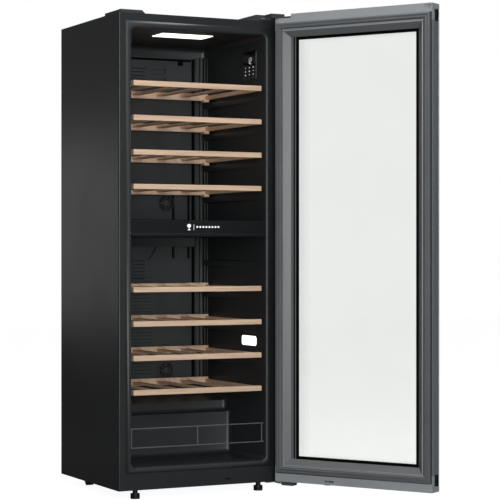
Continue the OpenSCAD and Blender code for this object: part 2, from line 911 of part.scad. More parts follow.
module top_hinge_bracket() {
    z = arm_z;
    color([0.5, 0.51, 0.53]) place() {
        difference() {
            union() {
                block(cab_w - 62, cab_w - 4, 10, 70, cab_h, z);
                block(cab_w - 62, cab_w - 4, -4, 70, z, z + arm_t);
                block(pivot_x - 8, pivot_x + 4.3, pivot_y, -4, z, z + arm_t);
                block(pivot_x - 22, pivot_x - 8, pivot_y + 8, -4, z, z + arm_t);
                rod_z(z, z + arm_t, pivot_x + 4.3 - 8, pivot_y, 8);
            }
            for (y = [24, 56]) {
                rod_z(cab_h - eps, z + arm_t + eps, cab_w - 40, y, 2.5);
            }
        }
        rod_z(z - pin_in_door, z, pivot_x, pivot_y, hinge_pin_r);
    }
}

module bottom_hinge_bracket() {
    color([0.5, 0.51, 0.53]) place() {
        difference() {
            union() {
                block(cab_w - 40, cab_w - 4, 0, 14, -plate_t, 0);
                block(cab_w - 30, cab_w - 4, 0, 90, -plate_t, 0);
                block(pivot_x - 7, pivot_x + 5.5, pivot_y, 0, -plate_t, 0);
                rod_z(-plate_t, 0, pivot_x, pivot_y, 7);
                rod_z(0, door_z - slack, pivot_x, pivot_y, 5);
            }
            for (y = [50, 78]) {
                rod_z(-plate_t - eps, eps, cab_w - 16, y, 2.5);
            }
        }
        rod_z(-plate_t, door_z + pin_in_door, pivot_x, pivot_y, hinge_pin_r);
    }
}

module screw_z(x, y, z, down) {
    translate([x, y, z]) mirror([0, 0, down ? 0 : 1]) {
        difference() {
            cylinder(h = 2.4, r = 4.5);
            translate([-3, -0.5, 1.4]) cube([6, 1, 2]);
            translate([-0.5, -3, 1.4]) cube([1, 6, 2]);
        }
        translate([0, 0, -arm_t]) cylinder(h = arm_t + 0.1, r = 2.5);
    }
}

module hinge_screws() {
    color([0.62, 0.63, 0.65]) place() {
        for (y = [24, 56]) {
            screw_z(cab_w - 40, y, arm_z + arm_t, true);
        }
        for (y = [50, 78]) {
            screw_z(cab_w - 16, y, -plate_t, false);
        }
    }
}

// Cover over the top hinge: a low ramp on the cabinet and a nose over the door's notch
module top_hinge_cover() {
    z1 = cab_h + 19;
    x0 = cab_w - 136;
    x1 = cab_w - 0.5;
    wall = 1.5;
    color([0.16, 0.17, 0.18]) place()
        difference() {
            union() {
                slab_y(0, 110) polygon([[x0, cab_h], [x0 + 58, z1], [x1, z1], [x1, cab_h]]);
                block(cab_w - 48, x1, pivot_y - 16, 0, arm_z, z1);
            }
            slab_y(2 * wall, 110 - wall)
                polygon([[x0 + 8, cab_h - eps], [x0 + 62, z1 - wall], [x1 - wall, z1 - wall],
                         [x1 - wall, cab_h - eps]]);
            block(cab_w - 48 + wall, x1 - wall, pivot_y - 16 + wall, 4, arm_z - eps, z1 - wall);
            block(cab_w - 63, cab_w - 3, -5, 5, arm_z - 0.01, arm_z + arm_t);
        }
}

module top_left_cap() {
    color([0.16, 0.17, 0.18]) place()
        difference() {
            slab_y(1, 130) polygon([[6.5, cab_h], [6.5, cab_h + 10], [78.7, cab_h + 10], [89.4, cab_h]]);
            slab_y(2.5, 128.5)
                polygon([[8, cab_h - eps], [8, cab_h + 8.5], [78, cab_h + 8.5], [87, cab_h - eps]]);
        }
}

// ---- Feet and rollers ----

module front_foot(x) {
    color([0.05, 0.05, 0.05]) place() {
        rod_z(-foot_h, -foot_h + 16, x, foot_y, foot_r);
        rod_z(-foot_h + 16, -1.5, x, foot_y, 8);
        rod_z(-1.5, foot_stem_up, x, foot_y, foot_stem_r);
    }
}

module front_foot_left() {
    front_foot(foot_x);
}

module front_foot_right() {
    front_foot(cab_w - foot_x);
}

module rear_roller(x) {
    color([0.06, 0.06, 0.06]) place()
        difference() {
            rod_x(x - roller_w / 2, x + roller_w / 2, roller_y, roller_z, roller_r);
            rod_x(x - roller_w, x + roller_w, roller_y, roller_z, roller_pin_r + run_fit);
        }
}

module rear_roller_left() {
    rear_roller(roller_x);
}

module rear_roller_right() {
    rear_roller(cab_w - roller_x);
}

module roller_pins() {
    half = roller_w / 2 + slack + ear_t;
    color([0.6, 0.61, 0.63]) place()
        for (x = [roller_x, cab_w - roller_x]) {
            rod_x(x - half, x + half, roller_y, roller_z, roller_pin_r);
            rod_x(x - half - 1.5, x - half, roller_y, roller_z, roller_pin_r + 1.5);
            rod_x(x + half, x + half + 1.5, roller_y, roller_z, roller_pin_r + 1.5);
        }
}

// ---- Shelves ----

// Beech shelf: a front bar, an arched rear rail, side boards and one slat under each bottle
module shelf(z) {
    y1 = shelf_y + shelf_d;
    slat_top = z + slat_up + slat_t;
    centres = [for (i = [0 : slat_count - 1]) shelf_x + first_slat + i * bottle_pitch];
    color([0.86, 0.69, 0.52]) place() {
        block(shelf_x, shelf_x + shelf_w, shelf_y, shelf_y + bar_d, z, z + bar_h);
        difference() {
            union() {
                block(shelf_x, shelf_x + shelf_w, y1 - rail_d, y1, z, z + rail_up);
                block(shelf_x + tab_in, shelf_x + shelf_w - tab_in, y1 - rail_d, y1,
                      z - rail_low, z + 1);
            }
            for (x = centres) {
                intersection() {
                    rod_y(y1 - rail_d - eps, y1 - rail_d + 12, x, slat_top + arch_h - arch_r, arch_r);
                    block(x - arch_r, x + arch_r, y1 - rail_d - 2 * eps, y1, slat_top, z + rail_up);
                }
            }
        }
        for (x = centres) {
            block(x - slat_w / 2, x + slat_w / 2, shelf_y + bar_d, y1 - rail_d,
                  z + slat_up, slat_top);
        }
        for (x = [shelf_x, shelf_x + shelf_w - edge_w]) {
            block(x, x + edge_w, shelf_y + bar_d, y1 - rail_d, z, z + edge_h);
        }
        for (x = [shelf_x + tab_in, shelf_x + shelf_w - tab_in - tab_w]) {
            block(x, x + tab_w, y1 - rail_d - 20, y1 - rail_d + 6, z - tab_h, z);
        }
    }
}

module shelf_1() {
    shelf(shelf_levels[0]);
}

module shelf_2() {
    shelf(shelf_levels[1]);
}

module shelf_3() {
    shelf(shelf_levels[2]);
}

module shelf_4() {
    shelf(shelf_levels[3]);
}

module shelf_5() {
    shelf(shelf_levels[4]);
}

module shelf_6() {
    shelf(shelf_levels[5]);
}

module shelf_7() {
    shelf(shelf_levels[6]);
}

module shelf_8() {
    shelf(shelf_levels[7]);
}

// ---- Door ----

module door_outer_glass() {
    color([0.05, 0.06, 0.07, 0.35]) swing()
        block(0, door_w, door_out, frame_out, door_z, door_top);
}

module door_inner_panes() {
    x = side_w + pane_edge;
    z = cap_h + pane_edge;
    color([0.8, 0.85, 0.85, 0.35]) swing()
        for (y = [pane_y, pane_y - spacer_t - pane_t]) {
            block(x, door_w - x, y, y + pane_t, door_z + z, door_top - z);
        }
}

module glazing_spacers() {
    edge = bezel_w - spacer_w;
    w = door_w - 2 * side_w - 2 * edge;
    h = door_h - 2 * cap_h - 2 * edge;
    color([0.3, 0.31, 0.33]) swing()
        for (y = [pane_y - spacer_t, pane_y - 2 * spacer_t - pane_t]) {
            translate([side_w + edge, y, door_z + cap_h + edge])
                difference() {
                    cube([w, spacer_t, h]);
                    translate([spacer_w, -eps, spacer_w])
                        cube([w - 2 * spacer_w, spacer_t + 2 * eps, h - 2 * spacer_w]);
                }
        }
}

// One chambered bar beside the glazing
module side_profile() {
    wall = 2.5;
    translate([0, 0, door_z + cap_h]) linear_extrude(door_h - 2 * cap_h)
        difference() {
            translate([grip_d, frame_out]) square([side_w - grip_d, door_in - frame_out]);
            translate([grip_d + wall, frame_out + wall])
                square([side_w - grip_d - 2 * wall, door_in - frame_out - 2 * wall]);
        }
}

// Both bars, and the strips clipped along their outer edges that the fingers pull on
module door_side_profiles() {
    color([0.35, 0.37, 0.39]) swing() {
        side_profile();
        translate([door_w, 0, 0]) mirror([1, 0, 0]) side_profile();
        for (x = [0, door_w - grip_d + 0.05]) {
            block(x, x + grip_d - 0.05, door_in - grip_back, door_in,
                  door_z + cap_h, door_top - cap_h);
        }
    }
}

// An end cap as drawn for the bottom of the door; the top one is its mirror image
module end_cap() {
    wall = 3;
    chamber = notch_w + 6;
    difference() {
        block(0, door_w, frame_out, door_in, 0, cap_h);
        block(chamber, door_w - chamber, frame_out + wall, door_in - wall, wall + 30, cap_h + eps);
        for (x = [-eps, door_w - grip_d]) {
            block(x, x + grip_d + eps, frame_out - eps, door_in - grip_back, grip_end, cap_h + eps);
        }
    }
}

module door_end_caps() {
    color([0.55, 0.57, 0.58]) swing() {
        difference() {
            translate([0, 0, door_z]) end_cap();
            rod_z(door_z - eps, door_z + pin_in_door + 2, pivot_x, pivot_y, bush_r);
            rod_z(door_z - eps, door_z + 24, lock_x, lock_y, lock_r);
            intersection() {
                rod_z(lock_z - cam_room, lock_z + cam_room, lock_x, lock_y, cam_reach + 2);
                block(lock_x - 40, lock_x + 5, lock_y - 5, door_in + eps, 0, cap_h);
            }
        }
        difference() {
            translate([0, 0, door_top]) mirror([0, 0, 1]) end_cap();
            block(door_w - notch_w, door_w + eps, frame_out - eps, door_in + eps,
                  door_top - notch_h, door_top + eps);
            block(5, 25, door_in - 9, door_in + eps, door_top - 14, door_top - 3);
            rod_z(door_top - notch_h - pin_in_door - 2, door_top, pivot_x, pivot_y, bush_r);
        }
    }
}

// Mitred border round the glass with a raised rim
module door_inner_frame() {
    color([0.55, 0.57, 0.58]) swing()
        translate([side_w, door_in, door_z + cap_h])
            mitred_frame(door_w - 2 * side_w, door_h - 2 * cap_h, bezel_w)
                polygon([[rim_rise, 0], [rim_rise, 4], [rim_rise - 1, 5], [-bezel_drop + 0.6, bezel_w],
                         [-bezel_drop, bezel_w], [-bezel_drop, 0]]);
}

module door_gasket() {
    rise = door_gap - 0.6;
    color([0.36, 0.38, 0.40]) swing()
        translate([gasket_side, door_in, door_z + gasket_end])
            mitred_frame(door_w - 2 * gasket_side, door_h - 2 * gasket_end, gasket_w)
                polygon([[0, 0], [2.5, 0], [rise * 0.55, 2], [rise - 1, 2], [rise, 4], [rise, 9],
                         [rise - 2, 10], [rise, 11], [rise, gasket_w - 5], [rise - 2, gasket_w - 2],
                         [2.5, gasket_w], [0, gasket_w]]);
}

module hinge_bushes() {
    color([0.85, 0.85, 0.82]) swing() {
        difference() {
            rod_z(door_z, door_z + pin_in_door + 2, pivot_x, pivot_y, bush_r);
            rod_z(door_z - eps, door_z + pin_in_door + 1, pivot_x, pivot_y, hinge_pin_r + run_fit);
        }
        difference() {
            rod_z(door_top - notch_h - pin_in_door - 2, door_top - notch_h, pivot_x, pivot_y, bush_r);
            rod_z(door_top - notch_h - pin_in_door - 1, door_top, pivot_x, pivot_y,
                  hinge_pin_r + run_fit);
        }
    }
}

// Plastic block under the door that pulls it shut over the hinge plate
module door_closer_cam() {
    x0 = pivot_x - 54;
    color([0.3, 0.31, 0.32]) swing()
        slab_y(door_in - 34, door_in - 8)
            polygon([[x0, door_z], [x0 + 44, door_z], [x0 + 44, door_z - 10], [x0 + 40, door_z - 13],
                     [x0 + 3, door_z - 13], [x0, door_z - 11]]);
}

module door_lock_barrel() {
    color([0.72, 0.73, 0.75]) swing()
        difference() {
            union() {
                rod_z(door_z - 2, door_z + 24, lock_x, lock_y, lock_r - 0.01);
                rod_z(door_z - 3, door_z, lock_x, lock_y, lock_r + 1.5);
            }
            rod_z(door_z - 4, door_z + 25, lock_x, lock_y, plug_r);
            block(lock_x - 14, lock_x + 5, lock_y - 5, lock_y + 14, lock_z - cam_room, lock_z + cam_room);
        }
}

// Lock plug with its keyway and the cam that turns into the plinth's slot
module door_lock_cam() {
    color([0.78, 0.79, 0.8]) swing()
        difference() {
            union() {
                rod_z(door_z - 3, door_z + 24, lock_x, lock_y, plug_r - run_fit);
                block(lock_x - cam_reach, lock_x, lock_y - 3.5, lock_y + 3.5, lock_z - 1.5, lock_z + 1.5);
            }
            block(lock_x - 3, lock_x + 3, lock_y - 0.6, lock_y + 0.6, door_z - 4, door_z + 6);
        }
}

left_side_panel();
right_side_panel();
top_panel();
rear_panel();
base_pan();
front_plinth();
insulation_foam();
inner_liner();
zone_divider();
divider_trim();
upper_duct_cover();
lower_duct_cover();
evaporator_plates();
fan_frames();
upper_fan_wheel();
lower_fan_wheel();
condenser_fan_wheel();
ceiling_lamp_lens();
side_lamp_lens();
lamp_housings();
control_panel();
control_board();
wire_guard();
compressor();
compressor_mounts();
condenser();
refrigerant_pipes();
drain_tube();
evaporation_tray();
rear_grille();
power_inlet();
top_hinge_bracket();
bottom_hinge_bracket();
hinge_screws();
top_hinge_cover();
top_left_cap();
front_foot_left();
front_foot_right();
rear_roller_left();
rear_roller_right();
roller_pins();
shelf_1();
shelf_2();
shelf_3();
shelf_4();
shelf_5();
shelf_6();
shelf_7();
shelf_8();
door_outer_glass();
door_inner_panes();
glazing_spacers();
door_side_profiles();
door_end_caps();
door_inner_frame();
door_gasket();
hinge_bushes();
door_closer_cam();
door_lock_barrel();
door_lock_cam();
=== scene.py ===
"""Wine cooler: the finishes, fine shapes and studio round its frame."""

import json
import math

import bmesh
import bpy
from bpy.props import FloatProperty, FloatVectorProperty, PointerProperty
from mathutils import Matrix, Vector


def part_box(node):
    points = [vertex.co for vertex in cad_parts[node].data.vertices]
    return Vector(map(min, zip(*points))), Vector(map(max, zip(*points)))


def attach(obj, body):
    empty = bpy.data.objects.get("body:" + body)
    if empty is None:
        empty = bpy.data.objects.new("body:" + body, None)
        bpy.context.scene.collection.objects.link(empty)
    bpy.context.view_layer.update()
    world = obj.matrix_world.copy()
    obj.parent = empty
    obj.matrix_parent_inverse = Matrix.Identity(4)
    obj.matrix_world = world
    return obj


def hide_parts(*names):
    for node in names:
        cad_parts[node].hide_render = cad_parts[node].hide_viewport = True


bl_info = {
    "name": "Wine cooler",
    "version": (1, 0, 0),
    "blender": (4, 5, 0),
    "location": "View3D > Sidebar > Cooler",
    "description": "Builds the shells, shelves, door and finishes of a wine cooler",
    "category": "Object",
}

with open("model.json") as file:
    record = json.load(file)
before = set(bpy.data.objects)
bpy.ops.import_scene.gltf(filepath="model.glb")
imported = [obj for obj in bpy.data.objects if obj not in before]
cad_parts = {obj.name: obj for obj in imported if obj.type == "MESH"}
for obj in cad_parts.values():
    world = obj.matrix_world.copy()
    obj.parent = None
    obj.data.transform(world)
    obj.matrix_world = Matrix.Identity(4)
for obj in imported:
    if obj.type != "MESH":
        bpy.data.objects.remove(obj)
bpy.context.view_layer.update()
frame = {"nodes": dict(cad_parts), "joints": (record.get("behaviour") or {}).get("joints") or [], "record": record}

# ---- Places taken from the frame ----

MM = 0.001
FLAT = 2e-4  # area in square metres past which a face of an eased plate is shaded flat
MERGE = 1e-6  # distance within which made points become one
CAD_MERGE = 2e-6  # the same for the points of a CAD node
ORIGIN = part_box("left_side_panel")[0]
FRONT = ORIGIN.y
SHELVES = ["shelf_%d" % i for i in range(1, 9)]

HINGE = next(j for j in frame["joints"] if j["name"] == "door_hinge")
PIVOT = Vector(HINGE["pos_m"])
OPEN_ANGLE = math.radians(-HINGE["range_deg"][0])
OPEN = Matrix.Translation(PIVOT) @ Matrix.Rotation(OPEN_ANGLE, 4, "Z") @ Matrix.Translation(-PIVOT)
CLOSED = OPEN.inverted()


def closed_box(node):
    """Corners of one of the door's nodes with the door closed."""
    points = [CLOSED @ v.co for v in frame["nodes"][node].data.vertices]
    lo = Vector([min(p[i] for p in points) for i in range(3)])
    hi = Vector([max(p[i] for p in points) for i in range(3)])
    return lo, hi


def probe(node, start, way):
    """The point where a ray from start first meets a node."""
    hit, where, _, _ = frame["nodes"][node].ray_cast(Vector(start), Vector(way))
    if not hit:
        raise RuntimeError("a ray from %s meets no %s" % (tuple(start), node))
    return where


class Cavity:
    """Inner faces of the liner, measured from the frame."""

    clear = 0.03
    y = FRONT + clear
    top_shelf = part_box("shelf_1")[1].z
    low_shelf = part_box("shelf_8")[0].z
    left = probe("inner_liner", (0, y, top_shelf + clear), (-1, 0, 0)).x
    right = probe("inner_liner", (0, y, top_shelf + clear), (1, 0, 0)).x
    ceiling = probe("inner_liner", (0, y, top_shelf), (0, 0, 1)).z
    floor = probe("inner_liner", (0, y, low_shelf), (0, 0, -1)).z
    rear = probe("inner_liner", (0, y, top_shelf + clear), (0, 1, 0)).y
    hump = probe("inner_liner", (0, y, floor + clear), (0, 1, 0)).y
    step_top = probe("inner_liner", (0, hump + 0.01, low_shelf - 0.01), (0, 0, -1)).z
    step = probe("inner_liner", (0, hump + 0.01, step_top + 0.01), (0, 1, 0)).y
    hump_top = probe("inner_liner", (0, step + 0.002, low_shelf - 0.01), (0, 0, -1)).z
    rear_top = probe("inner_liner", (0, rear - 0.001, low_shelf - 0.005), (0, 0, -1)).z


# ---- Settings ----


class CoolerFinishSettings(bpy.types.PropertyGroup):
    paint: FloatVectorProperty(
        name="Cabinet paint", description="Colour of the painted steel", subtype="COLOR",
        default=(0.018, 0.020, 0.022))
    liner: FloatVectorProperty(
        name="Liner", description="Colour of the vacuum-formed liner", subtype="COLOR",
        default=(0.022, 0.025, 0.028))
    door: FloatVectorProperty(
        name="Door plastic", description="Colour of the door's grey plastic", subtype="COLOR",
        default=(0.145, 0.155, 0.162))
    gasket: FloatVectorProperty(
        name="Gasket", description="Colour of the door's seal", subtype="COLOR",
        default=(0.125, 0.134, 0.142))
    beech: FloatVectorProperty(
        name="Beech", description="Colour of the wood between its grain", subtype="COLOR",
        default=(0.84, 0.61, 0.435))


class CoolerLinerSettings(bpy.types.PropertyGroup):
    lip: FloatProperty(
        name="Lip radius", description="Radius of the rounded lip of the opening",
        default=0.0068, unit="LENGTH")
    fillet: FloatProperty(
        name="Fillet", description="Radius of the tub's inside corners",
        default=0.0155, unit="LENGTH")
    wall: FloatProperty(
        name="Wall", description="Thickness of the liner", default=0.002, unit="LENGTH")
    ledge: FloatProperty(
        name="Ledge", description="Width of the ledges under the shelves",
        default=0.015, unit="LENGTH")
    ledge_height: FloatProperty(
        name="Ledge height", description="Height of the ledges", default=0.020, unit="LENGTH")
    ledge_start: FloatProperty(
        name="Ledge start", description="Distance of the ledges from the front",
        default=0.050, unit="LENGTH")


class CoolerShelfSettings(bpy.types.PropertyGroup):
    bar: FloatProperty(
        name="Bar depth", description="Depth of the front bar", default=0.018, unit="LENGTH")
    rail: FloatProperty(
        name="Rail depth", description="Depth of the rear rail", default=0.020, unit="LENGTH")
    ease: FloatProperty(
        name="Eased edge", description="Radius of the wood's sanded edges",
        default=0.0009, unit="LENGTH")


class CoolerStageSettings(bpy.types.PropertyGroup):
    camera: FloatVectorProperty(
        name="Camera", description="Place of the camera", subtype="TRANSLATION",
        default=(-2.364, -5.2785, 0.7671))
    turn: FloatProperty(
        name="Turn", description="Turn of the camera about the vertical", subtype="ANGLE",
        default=math.radians(-26.78))
    lens: FloatProperty(name="Lens", description="Focal length in millimetres", default=127.75)
    backdrop: FloatProperty(
        name="Backdrop", description="Brightness of the white backdrop", default=1.0)
    ambient: FloatProperty(
        name="Ambient", description="Brightness of the light from all round", default=0.12)


# ---- Node materials ----


def add_node(mat, kind, inputs=None, **settings):
    """A shader node with its settings and the values of its inputs."""
    node = mat.node_tree.nodes.new(kind)
    for name, value in settings.items():
        setattr(node, name, value)
    for name, value in (inputs or {}).items():
        node.inputs[name].default_value = value
    return node


def wire(mat, source, output, target, socket):
    mat.node_tree.links.new(source.outputs[output], target.inputs[socket])


def new_material(name):
    mat = bpy.data.materials.new(name + "_finish")
    mat.use_nodes = True
    return mat, mat.node_tree.nodes["Principled BSDF"]


def tones(mat, low, high, start=0.35, end=0.65):
    """A ramp between two colours."""
    ramp = add_node(mat, "ShaderNodeValToRGB")
    ramp.color_ramp.elements[0].position = start
    ramp.color_ramp.elements[0].color = (*low, 1)
    ramp.color_ramp.elements[1].position = end
    ramp.color_ramp.elements[1].color = (*high, 1)
    return ramp


def shade(colour, factor):
    return tuple(min(1.0, c * factor) for c in colour)


def moulded(name, colour, spread=0.12, patch=6.0, rough=(0.35, 0.45), grain=900.0, depth=0.12,
            stretch=(1, 1, 1), metal=0.0, coordinates="Object"):
    """Slow patches of tone and gloss with a fine grain: the base of paints and plastics."""
    mat, shader = new_material(name)
    place = add_node(mat, "ShaderNodeTexCoord")
    spread_out = add_node(mat, "ShaderNodeMapping", {"Scale": stretch})
    wire(mat, place, coordinates, spread_out, "Vector")
    slow = add_node(mat, "ShaderNodeTexNoise", {"Scale": patch, "Detail": 5.0, "Roughness": 0.55})
    wire(mat, spread_out, "Vector", slow, "Vector")
    ramp = tones(mat, shade(colour, 1 - spread), shade(colour, 1 + spread))
    wire(mat, slow, "Fac", ramp, "Fac")
    wire(mat, ramp, "Color", shader, "Base Color")
    gloss = add_node(mat, "ShaderNodeMapRange",
                     {"From Min": 0.35, "From Max": 0.65, "To Min": rough[0], "To Max": rough[1]})
    wire(mat, slow, "Fac", gloss, "Value")
    wire(mat, gloss, "Result", shader, "Roughness")
    fine = add_node(mat, "ShaderNodeTexNoise", {"Scale": grain, "Detail": 2.0})
    wire(mat, spread_out, "Vector", fine, "Vector")
    bump = add_node(mat, "ShaderNodeBump", {"Strength": depth, "Distance": 0.0004})
    wire(mat, fine, "Fac", bump, "Height")
    wire(mat, bump, "Normal", shader, "Normal")
    shader.inputs["Metallic"].default_value = metal
    return mat, shader


def settings():
    return bpy.context.scene.cooler_finish


def cabinet_paint():
    """Satin black coil coating with a faint orange peel."""
    return moulded("cabinet_paint", settings().paint, 0.06, 2.5, (0.30, 0.35), 420.0, 0.08)[0]


def base_steel():
    """Galvanised sheet with its crystal flakes."""
    mat, shader = moulded("base_steel", (0.46, 0.47, 0.48), 0.08, 8.0, (0.32, 0.5), 300.0, 0.05,
                          metal=1.0)
    place = add_node(mat, "ShaderNodeTexCoord")
    flakes = add_node(mat, "ShaderNodeTexVoronoi", {"Scale": 110.0})
    wire(mat, place, "Object", flakes, "Vector")
    ramp = tones(mat, (0.36, 0.37, 0.38), (0.56, 0.57, 0.58), 0.0, 1.0)
    wire(mat, flakes, "Color", ramp, "Fac")
    wire(mat, ramp, "Color", shader, "Base Color")
    return mat


def liner_plastic():
    """Dark satin sheet, vacuum formed, with a slight haze."""
    return moulded("liner_plastic", settings().liner, 0.10, 3.0, (0.34, 0.42), 1300.0, 0.10)[0]


def divider_plastic():
    mat, shader = moulded("divider_plastic", (0.009, 0.011, 0.012), 0.08, 9.0, (0.45, 0.55), 1500.0,
                          0.12)
    shader.inputs["Specular IOR Level"].default_value = 0.12
    return mat


def glowing(name, colour, strength):
    """An opal diffuser that glows evenly."""
    mat, shader = moulded(name, (0.9, 0.9, 0.88), 0.02, 10.0, (0.35, 0.45), 900.0, 0.05)
    shader.inputs["Emission Color"].default_value = (*colour, 1)
    shader.inputs["Emission Strength"].default_value = strength
    return mat


def lamp_white():
    return glowing("lamp_white", (1.0, 0.99, 0.96), 2.0)


def panel_black():
    """Gloss black touch panel."""
    mat, shader = moulded("panel_black", (0.004, 0.004, 0.005), 0.1, 12.0, (0.05, 0.08), 200.0, 0.01)
    shader.inputs["Coat Weight"].default_value = 0.5
    shader.inputs["Coat Roughness"].default_value = 0.03
    return mat


def display_white():
    """White light behind the display; the printed mark glows with it too, which is painted light, as no lamp lies
    behind the mark.
    """
    return glowing("display_white", (1.0, 1.0, 1.0), 0.45)


def gap_black():
    """Matt black for printed bands, and for painted shade laid in open joints, gaps and the insides of slots."""
    mat, shader = moulded("gap_black", (0.0025, 0.0026, 0.0028), 0.1, 9.0, (0.7, 0.8), 900.0, 0.02)
    shader.inputs["Specular IOR Level"].default_value = 0.05
    return mat


def beech():
    """Beech: long grain lines, slow streaks of tone and the short dark flecks of its rays."""
    colour = settings().beech
    mat, shader = new_material("beech")
    place = add_node(mat, "ShaderNodeTexCoord")
    along = add_node(mat, "ShaderNodeMapping", {"Scale": (2.2, 38.0, 1.0)})
    wire(mat, place, "UV", along, "Vector")
    streak = add_node(mat, "ShaderNodeTexNoise",
                      {"Scale": 1.0, "Detail": 6.0, "Roughness": 0.6, "Distortion": 0.6})
    wire(mat, along, "Vector", streak, "Vector")
    ramp = tones(mat, shade(colour, 0.80), shade(colour, 1.14), 0.30, 0.72)
    wire(mat, streak, "Fac", ramp, "Fac")
    lines = add_node(mat, "ShaderNodeMapping", {"Scale": (7.0, 620.0, 1.0)})
    wire(mat, place, "UV", lines, "Vector")
    pores = add_node(mat, "ShaderNodeTexNoise", {"Scale": 1.0, "Detail": 3.0, "Roughness": 0.5})
    wire(mat, lines, "Vector", pores, "Vector")
    line_tone = tones(mat, (0.80, 0.74, 0.68), (1, 1, 1), 0.36, 0.52)
    wire(mat, pores, "Fac", line_tone, "Fac")
    grain = add_node(mat, "ShaderNodeMix", {"Factor": 1.0}, data_type="RGBA", blend_type="MULTIPLY")
    wire(mat, ramp, "Color", grain, 6)
    wire(mat, line_tone, "Color", grain, 7)
    dashes = add_node(mat, "ShaderNodeMapping", {"Scale": (90.0, 420.0, 1.0)})
    wire(mat, place, "UV", dashes, "Vector")
    rays = add_node(mat, "ShaderNodeTexVoronoi", {"Scale": 1.0, "Randomness": 1.0})
    wire(mat, dashes, "Vector", rays, "Vector")
    fleck = tones(mat, (0.62, 0.50, 0.40), (1, 1, 1), 0.06, 0.20)
    wire(mat, rays, "Distance", fleck, "Fac")
    flecked = add_node(mat, "ShaderNodeMix", {"Factor": 0.55}, data_type="RGBA",
                       blend_type="MULTIPLY")
    wire(mat, grain, 2, flecked, 6)
    wire(mat, fleck, "Color", flecked, 7)
    wire(mat, flecked, 2, shader, "Base Color")
    gloss = add_node(mat, "ShaderNodeMapRange", {"To Min": 0.42, "To Max": 0.58})
    wire(mat, streak, "Fac", gloss, "Value")
    wire(mat, gloss, "Result", shader, "Roughness")
    bump = add_node(mat, "ShaderNodeBump", {"Strength": 0.22, "Distance": 0.0003})
    wire(mat, pores, "Fac", bump, "Height")
    wire(mat, bump, "Normal", shader, "Normal")
    return mat


def clear_glass(name, tint):
    """Flat float glass with the faintest change of tint."""
    mat, shader = new_material(name)
    place = add_node(mat, "ShaderNodeTexCoord")
    wave = add_node(mat, "ShaderNodeTexNoise", {"Scale": 6.0, "Detail": 1.0})
    wire(mat, place, "Object", wave, "Vector")
    colour = tones(mat, shade(tint, 0.995), tint)
    wire(mat, wave, "Fac", colour, "Fac")
    wire(mat, colour, "Color", shader, "Base Color")
    shader.inputs["Transmission Weight"].default_value = 1.0
    shader.inputs["IOR"].default_value = 1.45
    shader.inputs["Roughness"].default_value = 0.0
    return mat


def glass_outer():
    return clear_glass("glass_outer", (0.90, 0.905, 0.90))


def glass_inner():
    return clear_glass("glass_inner", (0.97, 0.975, 0.97))


def door_grey():
    """Grey plastic with fine drawn streaks along each piece."""
    return moulded("door_grey", settings().door, 0.07, 3.0, (0.30, 0.40), 160.0, 0.05,
                   (0.6, 40.0, 1.0), coordinates="UV")[0]


def pale_caps():
    """The lighter grey of the door's moulded ends; on the rim's bead the same pale grey is a painted highlight."""
    return moulded("pale_caps", shade(settings().door, 2.6), 0.05, 4.0, (0.30, 0.38), 300.0, 0.05)[0]


def gasket_rubber():
    return moulded("gasket_rubber", settings().gasket, 0.06, 14.0, (0.48, 0.58), 900.0, 0.12)[0]


